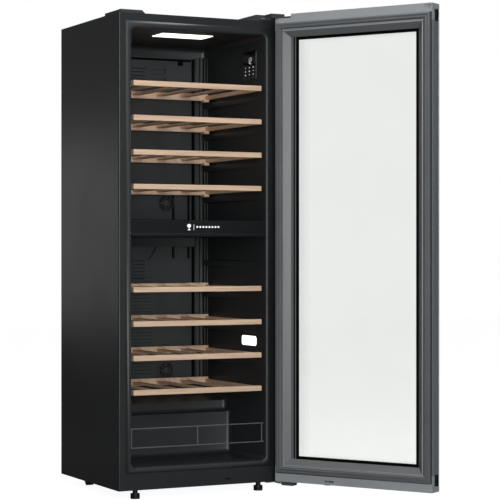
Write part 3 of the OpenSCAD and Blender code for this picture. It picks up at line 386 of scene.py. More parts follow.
# Finishes of one plain plastic, paint or metal each: colour, spread of tone, size of its patches,
# range of roughness, fineness and depth of grain, and where needed stretch and metal.
PLAIN = {
    "rear_sheet": ((0.045, 0.048, 0.052), 0.10, 4.0, (0.42, 0.5), 500.0, 0.15),
    "foam": ((0.80, 0.72, 0.50), 0.15, 40.0, (0.85, 0.95), 260.0, 0.6),
    "duct_plastic": ((0.030, 0.034, 0.037), 0.08, 9.0, (0.40, 0.48), 1400.0, 0.14),
    "evaporator_aluminium": ((0.75, 0.76, 0.77), 0.05, 12.0, (0.3, 0.42), 700.0, 0.1, (1, 1, 1), 1.0),
    "fan_plastic": ((0.022, 0.022, 0.025), 0.1, 20.0, (0.4, 0.5), 1200.0, 0.1),
    "lamp_tray": ((0.8, 0.8, 0.79), 0.03, 15.0, (0.3, 0.4), 900.0, 0.05),
    "board_green": ((0.02, 0.16, 0.07), 0.2, 60.0, (0.3, 0.4), 500.0, 0.1),
    "guard_wire": ((0.10, 0.11, 0.115), 0.08, 30.0, (0.3, 0.38), 900.0, 0.05),
    "compressor_paint": ((0.012, 0.012, 0.014), 0.15, 18.0, (0.22, 0.34), 260.0, 0.25),
    "rubber_black": ((0.018, 0.018, 0.018), 0.15, 30.0, (0.7, 0.85), 900.0, 0.3),
    "condenser_metal": ((0.55, 0.57, 0.59), 0.1, 25.0, (0.3, 0.45), 600.0, 0.1, (1, 1, 1), 1.0),
    "copper": ((0.72, 0.33, 0.18), 0.12, 30.0, (0.25, 0.42), 500.0, 0.08, (1, 1, 1), 1.0),
    "drain_plastic": ((0.62, 0.62, 0.60), 0.05, 20.0, (0.4, 0.5), 700.0, 0.1),
    "tray_plastic": ((0.035, 0.035, 0.038), 0.1, 15.0, (0.45, 0.55), 800.0, 0.2),
    "grille_plastic": ((0.028, 0.028, 0.030), 0.1, 12.0, (0.45, 0.55), 900.0, 0.2),
    "hinge_steel": ((0.50, 0.51, 0.53), 0.1, 30.0, (0.25, 0.4), 250.0, 0.12, (1, 8, 8), 1.0),
    "cover_plastic": ((0.040, 0.043, 0.047), 0.08, 14.0, (0.32, 0.4), 1500.0, 0.12),
    "foot_plastic": ((0.010, 0.010, 0.011), 0.2, 60.0, (0.18, 0.28), 500.0, 0.1),
    "roller_plastic": ((0.020, 0.020, 0.020), 0.2, 60.0, (0.4, 0.5), 500.0, 0.15),
    "spacer_metal": ((0.022, 0.024, 0.026), 0.1, 30.0, (0.3, 0.42), 900.0, 0.1, (1, 1, 1), 1.0),
    "profile_dark": ((0.20, 0.215, 0.23), 0.06, 12.0, (0.34, 0.42), 700.0, 0.08, (1, 1, 0.05)),
    "bush_plastic": ((0.7, 0.7, 0.68), 0.05, 40.0, (0.3, 0.4), 900.0, 0.05),
    "closer_plastic": ((0.08, 0.085, 0.09), 0.1, 30.0, (0.35, 0.45), 900.0, 0.15),
    "lock_metal": ((0.72, 0.73, 0.74), 0.06, 60.0, (0.12, 0.25), 400.0, 0.03, (1, 1, 1), 1.0),
}

# Finishes that take a colour from the settings or need nodes of their own.
MADE = (
    cabinet_paint, base_steel, liner_plastic, divider_plastic, lamp_white, panel_black, beech,
    glass_outer, glass_inner, door_grey, gasket_rubber, display_white, gap_black, pale_caps,
)


def finish(name):
    """The material of a slot or of an extra finish, made when it is first asked for."""
    full = name + "_finish"
    if full not in bpy.data.materials:
        if name in PLAIN:
            moulded(name, *PLAIN[name])
        else:
            next(f for f in MADE if f.__name__ == name)()
    return bpy.data.materials[full]


# ---- Shapes ----


def add_piece(name, bm, body, slot, nodes=(), smooth=32.0, material=None, flat=math.inf):
    """Makes a finished mesh into a piece that rides on a body and may stand for CAD nodes.
    Faces above the flat area keep one normal, so that panes and panels reflect evenly."""
    mesh = bpy.data.meshes.new(name)
    bm.to_mesh(mesh)
    bm.free()
    mesh.shade_smooth()
    mesh.set_sharp_from_angle(angle=math.radians(smooth))
    for face in mesh.polygons:
        if face.area > flat:
            face.use_smooth = False
    mesh.materials.append(material or finish(slot))
    piece = bpy.data.objects.new(name, mesh)
    bpy.context.scene.collection.objects.link(piece)
    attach(piece, body)
    if nodes:
        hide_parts(*nodes)
    return piece


def add_box(bm, lo, hi, ease=0.0, steps=2):
    """A box between two corners with eased edges; returns its faces."""
    before = set(bm.faces)
    lo = Vector(lo)
    hi = Vector(hi)
    matrix = Matrix.Translation((lo + hi) / 2) @ Matrix.Diagonal((*(hi - lo), 1.0))
    made = bmesh.ops.create_cube(bm, size=1.0, matrix=matrix)
    if ease:
        edges = list({e for v in made["verts"] for e in v.link_edges})
        bmesh.ops.bevel(bm, geom=edges, offset=ease, offset_type="OFFSET", segments=steps,
                        profile=0.5, affect="EDGES", clamp_overlap=True, material=-1)
    return [f for f in bm.faces if f not in before]


def add_turned(bm, outline, place, steps=48):
    """A solid of revolution; the outline is a list of radius and height."""
    before = set(bm.verts)
    verts = [bm.verts.new((r, 0, z)) for r, z in outline]
    edges = [bm.edges.new(pair) for pair in zip(verts, verts[1:])]
    bmesh.ops.spin(bm, geom=verts + edges, axis=(0, 0, 1), cent=(0, 0, 0), steps=steps,
                   angle=math.tau, use_merge=True)
    made = [v for v in bm.verts if v not in before]
    bmesh.ops.remove_doubles(bm, verts=made, dist=MERGE)
    made = [v for v in bm.verts if v not in before]
    faces = list({f for v in made for f in v.link_faces})
    bmesh.ops.recalc_face_normals(bm, faces=faces)
    bmesh.ops.transform(bm, matrix=place, verts=made)


def add_plate(bm, width, height, corner, thick, place, steps=8):
    """A plate with rounded corners in its own XY plane, rising along +Z."""
    before = set(bm.faces)
    made = bmesh.ops.create_circle(bm, cap_ends=True, segments=4 * steps, radius=corner,
                                   matrix=Matrix.Rotation(math.pi / (4 * steps), 4, "Z"))
    for v in made["verts"]:
        v.co.x += math.copysign(width / 2 - corner, v.co.x)
        v.co.y += math.copysign(height / 2 - corner, v.co.y)
    base = [f for f in bm.faces if f not in before]
    rise = bmesh.ops.extrude_face_region(bm, geom=base, use_keep_orig=True)
    top = [g for g in rise["geom"] if isinstance(g, bmesh.types.BMVert)]
    bmesh.ops.translate(bm, vec=(0, 0, thick), verts=top)
    faces = [f for f in bm.faces if f not in before]
    bmesh.ops.recalc_face_normals(bm, faces=faces)
    bmesh.ops.transform(bm, matrix=place, verts=list({v for f in faces for v in f.verts}))


def sweep_frame(bm, lo, hi, section):
    """Carries a closed section round a rectangle in X and Z with mitred corners.
    The section is a list of inset from the rectangle and depth along Y."""
    before = set(bm.verts)
    middle = (lo + hi) / 2
    inset, depth = section[0]
    corners = [(-1, -1), (1, -1), (1, 1), (-1, 1)]

    def spot(sx, sz, inset, depth):
        return Vector((middle.x + sx * (hi.x - middle.x - inset), depth,
                       middle.z + sz * (hi.z - middle.z - inset)))

    verts = [bm.verts.new(spot(sx, sz, inset, depth)) for sx, sz in corners]
    edges = [bm.edges.new((verts[i], verts[(i + 1) % 4])) for i in range(4)]
    for inset, depth in section[1:] + section[:1]:
        made = bmesh.ops.extrude_edge_only(bm, edges=edges)
        new = [g for g in made["geom"] if isinstance(g, bmesh.types.BMVert)]
        edges = [g for g in made["geom"]
                 if isinstance(g, bmesh.types.BMEdge) and all(v in new for v in g.verts)]
        for v in new:
            sx = math.copysign(1, v.co.x - middle.x)
            sz = math.copysign(1, v.co.z - middle.z)
            v.co = spot(sx, sz, inset, depth)
    fresh = [v for v in bm.verts if v not in before]
    bmesh.ops.remove_doubles(bm, verts=fresh, dist=MERGE)
    fresh = [v for v in bm.verts if v not in before]
    bmesh.ops.recalc_face_normals(bm, faces=list({f for v in fresh for f in v.link_faces}))


def eased_copy(node, ease, steps=2, angle=35.0):
    """A CAD node's shape, merged, with its sharp edges eased."""
    bm = bmesh.new()
    bm.from_mesh(frame["nodes"][node].data)
    bmesh.ops.remove_doubles(bm, verts=bm.verts, dist=CAD_MERGE)
    bmesh.ops.dissolve_limit(bm, angle_limit=math.radians(0.5), verts=bm.verts, edges=bm.edges)
    sharp = [e for e in bm.edges
             if len(e.link_faces) == 2 and e.calc_face_angle(0) > math.radians(angle)]
    bmesh.ops.bevel(bm, geom=sharp, offset=ease, offset_type="OFFSET", segments=steps, profile=0.5,
                    affect="EDGES", clamp_overlap=True, material=-1)
    return bm


def lay_grain(bm, face, long_axis, board):
    """Lays UVs in metres, with U along the grain, so that streaks follow each board.
    Each board starts at another place in the wood."""
    layer = bm.loops.layers.uv.verify()
    cross = [i for i in range(3) if i != long_axis]
    along, across = 3.1 * board, 0.37 * board
    for loop in face.loops:
        co = loop.vert.co
        loop[layer].uv = (co[long_axis] + along, co[cross[0]] + co[cross[1]] + across)


def door_grain(bm, ends=0.022):
    """Streaks along Z on the door's sides and along X within ends of its top and bottom."""
    lo, hi = closed_box("door_outer_glass")
    layer = bm.loops.layers.uv.verify()
    for face in bm.faces:
        centre = CLOSED @ face.calc_center_median()
        from_side = min(centre.x - lo.x, hi.x - centre.x)
        from_end = min(centre.z - lo.z, hi.z - centre.z)
        level = from_end - ends < from_side
        for loop in face.loops:
            co = CLOSED @ loop.vert.co
            loop[layer].uv = (co.x, co.z + co.y) if level else (co.z, co.x + co.y)


# ---- Operators ----


class CoolerFinishes(bpy.types.Operator):
    """Gives every CAD node the material of its slot"""

    bl_idname = "cooler.finishes"
    bl_label = "Finishes"

    def execute(self, context):
        for part in frame["record"]["subparts"]:
            node = frame["nodes"][part["node"]]
            node.data.materials.clear()
            node.data.materials.append(finish(part["material_slot"]))
        return {"FINISHED"}


class CoolerLiner(bpy.types.Operator):
    """Forms the liner: a tub with large fillets, a rounded lip, ledges and corner ribs"""

    bl_idname = "cooler.liner"
    bl_label = "Liner"

    def execute(self, context):
        size = context.scene.cooler_liner
        bm = bmesh.new()
        self.form_tub(bm, size)
        self.form_lip(bm, size)
        tub = add_piece("liner_tub", bm, "cabinet", "liner_plastic", ["inner_liner"], 40.0)
        wall = tub.modifiers.new("wall", "SOLIDIFY")
        wall.thickness = size.wall
        wall.offset = -1.0
        bm = bmesh.new()
        for shelf in SHELVES:
            self.form_ledges(bm, size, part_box(shelf)[0].z)
        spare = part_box("shelf_5")[0].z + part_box("shelf_5")[0].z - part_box("shelf_6")[0].z
        self.form_ledges(bm, size, spare)
        divider_lo, divider_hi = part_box("zone_divider")
        self.form_ribs(bm, divider_hi.z, Cavity.ceiling - 0.030)
        self.form_ribs(bm, Cavity.rear_top - 0.004, divider_lo.z)
        add_piece("liner_ledges", bm, "cabinet", "liner_plastic", (), 40.0)
        return {"FINISHED"}

    def form_tub(self, bm, size):
        """The air inside, extruded across from its outline and filleted, without its front."""
        start = FRONT + size.lip
        outline = [
            (start, Cavity.floor), (Cavity.hump, Cavity.floor), (Cavity.hump, Cavity.step_top),
            (Cavity.step, Cavity.step_top), (Cavity.step, Cavity.hump_top),
            (Cavity.rear, Cavity.rear_top), (Cavity.rear, Cavity.ceiling), (start, Cavity.ceiling),
        ]
        side = bm.faces.new([bm.verts.new((Cavity.left, y, z)) for y, z in outline])
        made = bmesh.ops.extrude_face_region(bm, geom=[side], use_keep_orig=True)
        far = [g for g in made["geom"] if isinstance(g, bmesh.types.BMVert)]
        bmesh.ops.translate(bm, vec=(Cavity.right - Cavity.left, 0, 0), verts=far)
        bmesh.ops.recalc_face_normals(bm, faces=bm.faces)
        front = [f for f in bm.faces if all(abs(v.co.y - start) < 1e-6 for v in f.verts)]
        bmesh.ops.delete(bm, geom=front, context="FACES_ONLY")
        shoulders = [e for e in bm.edges if len(e.link_faces) == 2
                     and all(abs(v.co.y - Cavity.hump) + abs(v.co.z - Cavity.step_top) < 1e-5
                             or abs(v.co.y - Cavity.step) + abs(v.co.z - Cavity.hump_top) < 1e-5
                             for v in e.verts)]
        inner = [e for e in bm.edges if len(e.link_faces) == 2 and e not in shoulders]
        bmesh.ops.bevel(bm, geom=inner, offset=size.fillet, offset_type="OFFSET", segments=5,
                        profile=0.5, affect="EDGES", clamp_overlap=True, material=-1)
        bmesh.ops.reverse_faces(bm, faces=bm.faces)

    def form_lip(self, bm, size):
        """The quarter-round lip and the flat flange, drawn out of the tub's front edge."""
        start = FRONT + size.lip
        flange_lo, flange_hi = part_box("inner_liner")
        lo = Vector((Cavity.left, 0, Cavity.floor))
        hi = Vector((Cavity.right, 0, Cavity.ceiling))
        middle = (lo + hi) / 2
        edges = [e for e in bm.edges if len(e.link_faces) == 1]
        steps = 5
        rounds = [(i + 1) * math.pi / 2 / steps for i in range(steps)]
        rings = [(size.lip * (1 - math.cos(a)), start - size.lip * math.sin(a)) for a in rounds]
        grown = 0.0
        for outset, y in rings:
            edges, new = self.next_ring(bm, edges)
            growth = (size.fillet + outset) / (size.fillet + grown)
            for v in new:
                for axis in (0, 2):
                    centre = math.copysign((hi[axis] - lo[axis]) / 2 - size.fillet,
                                           v.co[axis] - middle[axis]) + middle[axis]
                    v.co[axis] = centre + (v.co[axis] - centre) * growth
                v.co.y = y
            grown = outset
        edges, new = self.next_ring(bm, edges)
        for v in new:
            v.co.x = flange_lo.x if v.co.x < middle.x else flange_hi.x
            v.co.z = flange_lo.z if v.co.z < middle.z else flange_hi.z
        bmesh.ops.remove_doubles(bm, verts=new, dist=MERGE)

    def next_ring(self, bm, edges):
        """Draws a ring of edges out by one and gives its new edges and points."""
        made = bmesh.ops.extrude_edge_only(bm, edges=edges)
        new = [g for g in made["geom"] if isinstance(g, bmesh.types.BMVert)]
        ring = [g for g in made["geom"]
                if isinstance(g, bmesh.types.BMEdge) and all(v in new for v in g.verts)]
        return ring, new

    def form_ledges(self, bm, size, level):
        """One pair of ledges with soft edges that run out into the wall at the front."""
        top = level - 0.3 * MM
        taper = 0.03
        sunk = 0.004
        y0 = FRONT + size.ledge_start
        for side, wall in ((1, Cavity.left), (-1, Cavity.right)):
            x0 = min(wall - side * sunk, wall + side * size.ledge)
            x1 = max(wall - side * sunk, wall + side * size.ledge)
            faces = add_box(bm, (x0, y0 + taper, top - size.ledge_height),
                            (x1, Cavity.rear - 0.022, top), 0.0042, 4)
            for v in {v for f in faces for v in f.verts}:
                if v.co.y < y0 + taper + 0.01:
                    v.co.y -= taper
                    v.co.x = wall - side * 0.002 + (v.co.x - wall) * 0.1

    def form_ribs(self, bm, low, high):
        """Slim uprights in both rear corners, with the shadow gap beside the duct cover."""
        for side, wall in ((1, Cavity.left), (-1, Cavity.right)):
            for inset, width, front, back, ease in (
                    (0.0345, 0.006, 0.005, -0.001, 0.0018), (0.0195, 0.006, 0.010, -0.001, 0.0018),
                    (0.0065, 0.006, 0.018, -0.001, 0.0018), (-0.001, 0.0045, 0.019, 0.010, 0.0012)):
                x0 = wall + side * inset
                x1 = wall + side * (inset + width)
                add_box(bm, (min(x0, x1), Cavity.rear - front, low),
                        (max(x0, x1), Cavity.rear - back, high), ease, 3)


class CoolerFoam(bpy.types.Operator):
    """Draws the foam back from the skins, so that rounded corners hide it"""

    bl_idname = "cooler.foam"
    bl_label = "Foam"

    def execute(self, context):
        bm = bmesh.new()
        bm.from_mesh(frame["nodes"]["insulation_foam"].data)
        bmesh.ops.remove_doubles(bm, verts=bm.verts, dist=CAD_MERGE)
        bm.normal_update()
        inset = 0.0035
        sharpest = 1.8
        moves = [(v, v.normal * min(v.calc_shell_factor(), sharpest) * inset) for v in bm.verts]
        for v, move in moves:
            v.co -= move
        add_piece("foam_core", bm, "cabinet", "foam", ["insulation_foam"])
        bm = bmesh.new()
        lo, hi = closed_box("door_lock_barrel")
        mid = (lo + hi) / 2
        mouth = Vector((mid.x, FRONT + 0.002, mid.z))
        half, deep, rise, wall, end = 11.9, 9.9, 4.9, 1.3, 0.7
        for a, b in (((-half, deep - end, -rise), (half, deep, rise)),
                     ((-half, 0, rise - wall), (half, deep, rise)),
                     ((-half, 0, -rise), (half, deep, wall - rise)),
                     ((-half, 0, -rise), (wall - half, deep, rise)),
                     ((half - wall, 0, -rise), (half, deep, rise))):
            add_box(bm, mouth + Vector(a) * MM, mouth + Vector(b) * MM)
        add_piece("keeper_pocket", bm, "cabinet", "rubber_black")
        return {"FINISHED"}


class CoolerShelves(bpy.types.Operator):
    """Sands the shelves' edges and lays the grain along each of their boards"""

    bl_idname = "cooler.shelves"
    bl_label = "Shelves"

    def execute(self, context):
        size = context.scene.cooler_shelf
        boards_per_metre = 11.3
        for index, node in enumerate(SHELVES):
            bm = eased_copy(node, size.ease)
            lo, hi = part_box(node)
            bar_back = lo.y + size.bar
            rail_front = hi.y - size.rail
            for face in bm.faces:
                centre = face.calc_center_median()
                if bar_back < centre.y < rail_front:
                    board = round((centre.x - lo.x) * boards_per_metre)
                    lay_grain(bm, face, 1, 10 * index + board)
                else:
                    lay_grain(bm, face, 0, 10 * index + (centre.y > rail_front))
            add_piece("beech_" + node, bm, node, "beech", [node], 40.0, flat=FLAT)
        return {"FINISHED"}


class CoolerDoor(bpy.types.Operator):
    """Finishes the door: border, gasket, caps, profiles, glass and its printed edge"""

    bl_idname = "cooler.door"
    bl_label = "Door"

    def execute(self, context):
        for node, name, slot, ease in (
                ("door_inner_frame", "door_border", "door_grey", 0.0006),
                ("door_end_caps", "door_caps", "door_grey", 0.0012),
                ("door_side_profiles", "door_profiles", "profile_dark", 0.0006)):
            bm = eased_copy(node, ease)
            door_grain(bm)
            material = finish("pale_caps") if name == "door_caps" else None
            add_piece(name, bm, "door", slot, [node], material=material, flat=FLAT)
        self.gasket()
        self.rim()
        self.fold()
        self.print_edge()
        for node, name, slot, ease in (
                ("door_outer_glass", "door_glass", "glass_outer", 0.0006),
                ("door_closer_cam", "door_closer", "closer_plastic", 0.0010),
                ("door_lock_barrel", "lock_barrel", "lock_metal", 0.0004)):
            add_piece(name, eased_copy(node, ease), "door", slot, [node], flat=FLAT)
        return {"FINISHED"}

    def gasket(self):
        """A soft seal with two ribs and a fold between them."""
        lo, hi = closed_box("door_gasket")
        base = lo.y
        rise = hi.y - lo.y
        width = 0.020
        shape = [(0.0, 0.0), (0.0, 0.25), (0.06, 0.42), (0.12, 0.82), (0.17, 0.95), (0.24, 1.0),
                 (0.38, 0.99), (0.44, 0.92), (0.48, 0.78), (0.52, 0.78), (0.56, 0.92),
                 (0.62, 0.99), (0.76, 1.0), (0.83, 0.94), (0.88, 0.80), (0.92, 0.42),
                 (1.0, 0.25), (1.0, 0.0)]
        section = [(u * width, base + d * rise) for u, d in shape]
        bm = bmesh.new()
        sweep_frame(bm, lo, hi, section)
        bmesh.ops.transform(bm, matrix=OPEN, verts=bm.verts)
        add_piece("door_seal", bm, "door", "gasket_rubber", ["door_gasket"], 50.0)

    def rim(self):
        """A bead on the border's raised rim, inside the groove that runs round it, in a pale grey that paints the
        rim's highlight.
        """
        lo, hi = closed_box("door_inner_frame")
        shape = [(0.5, -2.0), (0.5, 0.0), (1.2, 0.5), (2.6, 0.5), (3.3, 0.0), (3.3, -2.0)]
        bm = bmesh.new()
        sweep_frame(bm, lo, hi, [(inset * MM, hi.y + rise * MM) for inset, rise in shape])
        bmesh.ops.transform(bm, matrix=OPEN, verts=bm.verts)
        add_piece("door_rim_painted_highlight", bm, "door", "door_grey", (), 50.0, material=finish("pale_caps"))

    def print_edge(self):
        """The black enamel printed round the outer pane, and the grey floor of each grip."""
        air, skin = 0.0001, 0.0002
        margin, window = 0.0006, 0.0215
        lo, hi = closed_box("door_inner_frame")
        glass_lo, glass_hi = closed_box("door_outer_glass")
        face = glass_hi.y + air
        edge_lo = glass_lo + Vector((margin, 0, margin))
        edge_hi = glass_hi - Vector((margin, 0, margin))
        window_lo = lo + Vector((window, 0, window))
        window_hi = hi - Vector((window, 0, window))
        bm = bmesh.new()
        for x0, x1, z0, z1 in ((edge_lo.x, window_lo.x, edge_lo.z, edge_hi.z),
                               (window_hi.x, edge_hi.x, edge_lo.z, edge_hi.z),
                               (window_lo.x, window_hi.x, edge_lo.z, window_lo.z),
                               (window_lo.x, window_hi.x, window_hi.z, edge_hi.z)):
            add_box(bm, (x0, face - 2 * skin, z0), (x1, face - skin, z1))
        lining = bmesh.new()
        for x0, x1 in ((edge_lo.x, lo.x), (hi.x, edge_hi.x)):
            add_box(lining, (x0, face + 3 * air, lo.z), (x1, face + 6 * air, hi.z))
        near = closed_box("door_inner_panes")[1].y + air
        free_side, ends, band_width = 0.0015, 0.0025, 0.0295
        ring_lo = Vector((lo.x + free_side, 0, lo.z + ends))
        ring_hi = Vector((hi.x - window, 0, hi.z - ends))
        band = bmesh.new()
        sweep_frame(band, ring_lo, ring_hi, [(0.0, near), (0.0, near + skin),
                                             (band_width, near + skin), (band_width, near)])
        low, high = near + skin + air, near + 2 * skin + air
        line = bmesh.new()
        for outer, inner in ((0.0, 0.0095), (0.0146, 0.0186)):
            sweep_frame(line, ring_lo, ring_hi,
                        [(outer, low), (outer, high), (inner, high), (inner, low)])
        for piece, name, slot, material in (
                (bm, "glass_print", "panel_black", None), (lining, "grip_floors", "door_grey", None),
                (band, "inner_print", "panel_black", finish("gap_black")),
                (line, "inner_line", "spacer_metal", finish("door_grey"))):
            bmesh.ops.transform(piece, matrix=OPEN, verts=piece.verts)
            door_grain(piece)
            add_piece(name, piece, "door", slot, material=material)

    def fold(self):
        """A black strip beside the seal on the free side: a painted shadow of the seal's edge."""
        lo, hi = closed_box("door_gasket")
        face = closed_box("door_side_profiles")[1].y
        width, lap, sunk, proud = 0.0034, 0.0010, 0.0005, 0.0006
        bm = bmesh.new()
        add_box(bm, (lo.x - width, face - sunk, lo.z), (lo.x + lap, face + proud, hi.z), 0.0002, 1)
        bmesh.ops.transform(bm, matrix=OPEN, verts=bm.verts)
        add_piece("seal_painted_shadow", bm, "door", "gasket_rubber", material=finish("gap_black"))


class CoolerCovers(bpy.types.Operator):
    """Eases the edges of the sheet-metal and moulded pieces of the cabinet"""

    bl_idname = "cooler.covers"
    bl_label = "Covers"

    def execute(self, context):
        slots = {p["node"]: p["material_slot"] for p in frame["record"]["subparts"]}
        for node, ease in (("top_hinge_cover", 0.0020), ("top_left_cap", 0.0025),
                           ("divider_trim", 0.0008), ("upper_duct_cover", 0.0006),
                           ("lower_duct_cover", 0.0006), ("control_panel", 0.0006),
                           ("ceiling_lamp_lens", 0.0008), ("side_lamp_lens", 0.0008),
                           ("power_inlet", 0.0010), ("evaporation_tray", 0.0006),
                           ("front_plinth", 0.0003), ("top_panel", 0.0003)):
            add_piece(node + "_eased", eased_copy(node, ease), "cabinet", slots[node], [node],
                      flat=FLAT)
        return {"FINISHED"}


class CoolerDetails(bpy.types.Operator):
    """Adds the display, the divider's mark, and the rings, ribs, slots and bracket of the ducts"""

    bl_idname = "cooler.details"
    bl_label = "Details"

    def execute(self, context):
        self.display()
        self.mark()
        self.ducts()
        return {"FINISHED"}

    def display(self):
        """Two digits over a grid of nine small touch marks."""
        lo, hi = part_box("control_panel")
        bm = bmesh.new()
        strokes = {"a": (0, 1, 1, 0), "b": (1, 0.5, 0, 1), "c": (1, -0.5, 0, 1),
                   "d": (0, -1, 1, 0), "e": (-1, -0.5, 0, 1), "f": (-1, 0.5, 0, 1),
                   "g": (0, 0, 1, 0)}
        half_width, half_height, stroke = 0.0052, 0.0095, 0.0020
        across, upward = 0.0064, 0.0060
        digit_z = hi.z - 0.031
        for middle, lit in ((0.040, "bc"), (0.056, "abdeg")):
            for key in lit:
                u, v, flat, upright = strokes[key]
                y = hi.y - middle - u * half_width
                z = digit_z + v * half_height
                self.dash(bm, lo.x, y, z, stroke + across * flat, stroke + upward * upright)
        key_y, key_z = hi.y - 0.019, hi.z - 0.052
        column_pitch, row_pitch, key_width = 0.0275, 0.0115, 0.0048
        for row in range(3):
            for column in range(3):
                height = 0.0018 + 0.0012 * ((row + column) % 3)
                self.dash(bm, lo.x, key_y - column * column_pitch, key_z - row * row_pitch,
                          key_width, height)
        add_piece("control_display", bm, "cabinet", "panel_black", material=finish("display_white"))

    def dash(self, bm, x, y, z, width, height):
        """One lit stroke, sunk a little into the panel's face."""
        add_box(bm, (x - 0.0002, y - width / 2, z - height / 2),
                (x + 0.0005, y + width / 2, z + height / 2))

    def mark(self):
        """A wine glass, a thin rule and a row of small plain dots on the divider's front."""
        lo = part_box("divider_trim")[0]
        left = ORIGIN.x + 0.231
        z = lo.z + 0.0300
        thick, dot, pitch = 0.0006, 0.0060, 0.0105

        def front(x, dz):
            return Matrix.Translation((x, lo.y + 0.0004, z + dz)) @ Matrix.Rotation(
                math.pi / 2, 4, "X")

        bm = bmesh.new()
        for dz, width, height, corner in ((0.0035, 0.0130, 0.0110, 0.0054),
                                          (-0.0050, 0.0020, 0.0090, 0.0009),
                                          (-0.0092, 0.0100, 0.0020, 0.0009)):
            add_plate(bm, width, height, corner, thick, front(left + 0.0080, dz))
        add_plate(bm, 0.0011, 0.0170, 0.0005, thick, front(left + 0.0245, -0.001))
        for step in range(8):
            add_plate(bm, dot, dot, 0.0029, thick, front(left + 0.036 + step * pitch, 0))
        # The printed mark glows white: painted light, as it is no lamp.
        add_piece("divider_mark", bm, "cabinet", "divider_plastic", material=finish("display_white"))

    def ducts(self):
        """Rings round the ports, upright ribs, the bracket, and black strips of painted shade in the slots, joints
        and gaps.
        """
        upper_lo, upper_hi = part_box("upper_duct_cover")
        lower_lo, lower_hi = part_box("lower_duct_cover")
        face = upper_lo.y
        bm = bmesh.new()
        for x, z, radius in ((0.353, 0.89835, 0.0255), (0.353, 0.335, 0.0290)):
            place = Matrix.Translation(ORIGIN + Vector((x, 0, z))) @ Matrix.Rotation(
                math.pi / 2, 4, "X")
            place.translation.y = face + 0.0004
            add_turned(bm, [(radius, 0), (radius, 0.0016), (radius + 0.0008, 0.0022),
                            (radius + 0.0022, 0.0022), (radius + 0.0030, 0.0016),
                            (radius + 0.0030, 0), (radius, 0)], place)
        x0 = ORIGIN.x
        z0 = ORIGIN.z
        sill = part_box("zone_divider")[1].z
        rib_spans = ((sill, z0 + 0.962), (z0 + 0.712, lower_hi.z - 0.001))
        for x in (0.382, 0.439):
            for low, high in rib_spans:
                add_box(bm, (x0 + x, face - 0.007, low), (x0 + x + 0.006, face + 0.001, high),
                        0.0016, 3)
        self.bracket(bm, x0 + 0.288, x0 + 0.322, face - 0.010, z0 + 0.706, lower_hi.z - 0.004)
        add_piece("duct_fittings", bm, "cabinet", "duct_plastic")
        # Black strips at the cover's face: painted shade in its slots, along its edges and beside its ribs.
        bm = bmesh.new()
        skin = face - 0.0002
        back = face + 0.0006
        for a, b, low, high in (
                (0.0915, 0.4460, 1.3770, 1.3850), (0.3960, 0.4160, 1.3630, 1.3770),
                (0.3480, 0.3510, 1.3330, 1.3520), (0.3480, 0.3510, 1.3040, 1.3220)):
            add_box(bm, (x0 + a, skin, z0 + low), (x0 + b, back, z0 + high), 0.0003, 1)
        for lo, hi in ((upper_lo, upper_hi), (lower_lo, lower_hi)):
            add_box(bm, (x0 + 0.4475, skin, lo.z + 0.001), (x0 + 0.4590, back, hi.z - 0.001),
                    0.0003, 1)
        for row in range(3):
            for column in range(7):
                x = x0 + 0.300 + column * 0.0065
                z = z0 + 1.346 - row * 0.016
                add_box(bm, (x, skin, z), (x + 0.0028, back, z + 0.0020))
        level = lower_hi.z - 0.105
        louvre, louvre_pitch = 0.0012, 0.0115
        while level > lower_lo.z + 0.035:
            add_box(bm, (x0 + 0.110, skin, level), (x0 + 0.300, back, level + louvre))
            level -= louvre_pitch
        for x in (0.375, 0.432):
            for low, high in rib_spans:
                add_box(bm, (x0 + x, skin, low), (x0 + x + 0.0062, back, high))
        add_box(bm, (x0 + 0.0915, skin, sill), (x0 + 0.446, back, sill + 0.010))
        add_piece("duct_painted_shade", bm, "cabinet", "rubber_black", material=finish("gap_black"))

    def bracket(self, bm, x0, x1, y, low, high):
        """A wedge that leans to the right against its upright edge."""
        tip, deep = 0.007, 0.0105
        corners = [(x0, low), (x1, low), (x1, high), (x1 - tip, high)]
        base = bm.faces.new([bm.verts.new((x, y + deep, z)) for x, z in corners])
        made = bmesh.ops.extrude_face_region(bm, geom=[base], use_keep_orig=True)
        front = [g for g in made["geom"] if isinstance(g, bmesh.types.BMVert)]
        bmesh.ops.translate(bm, vec=(0, -deep, 0), verts=front)
        faces = list({f for v in front for f in v.link_faces} | {base})
        bmesh.ops.recalc_face_normals(bm, faces=faces)


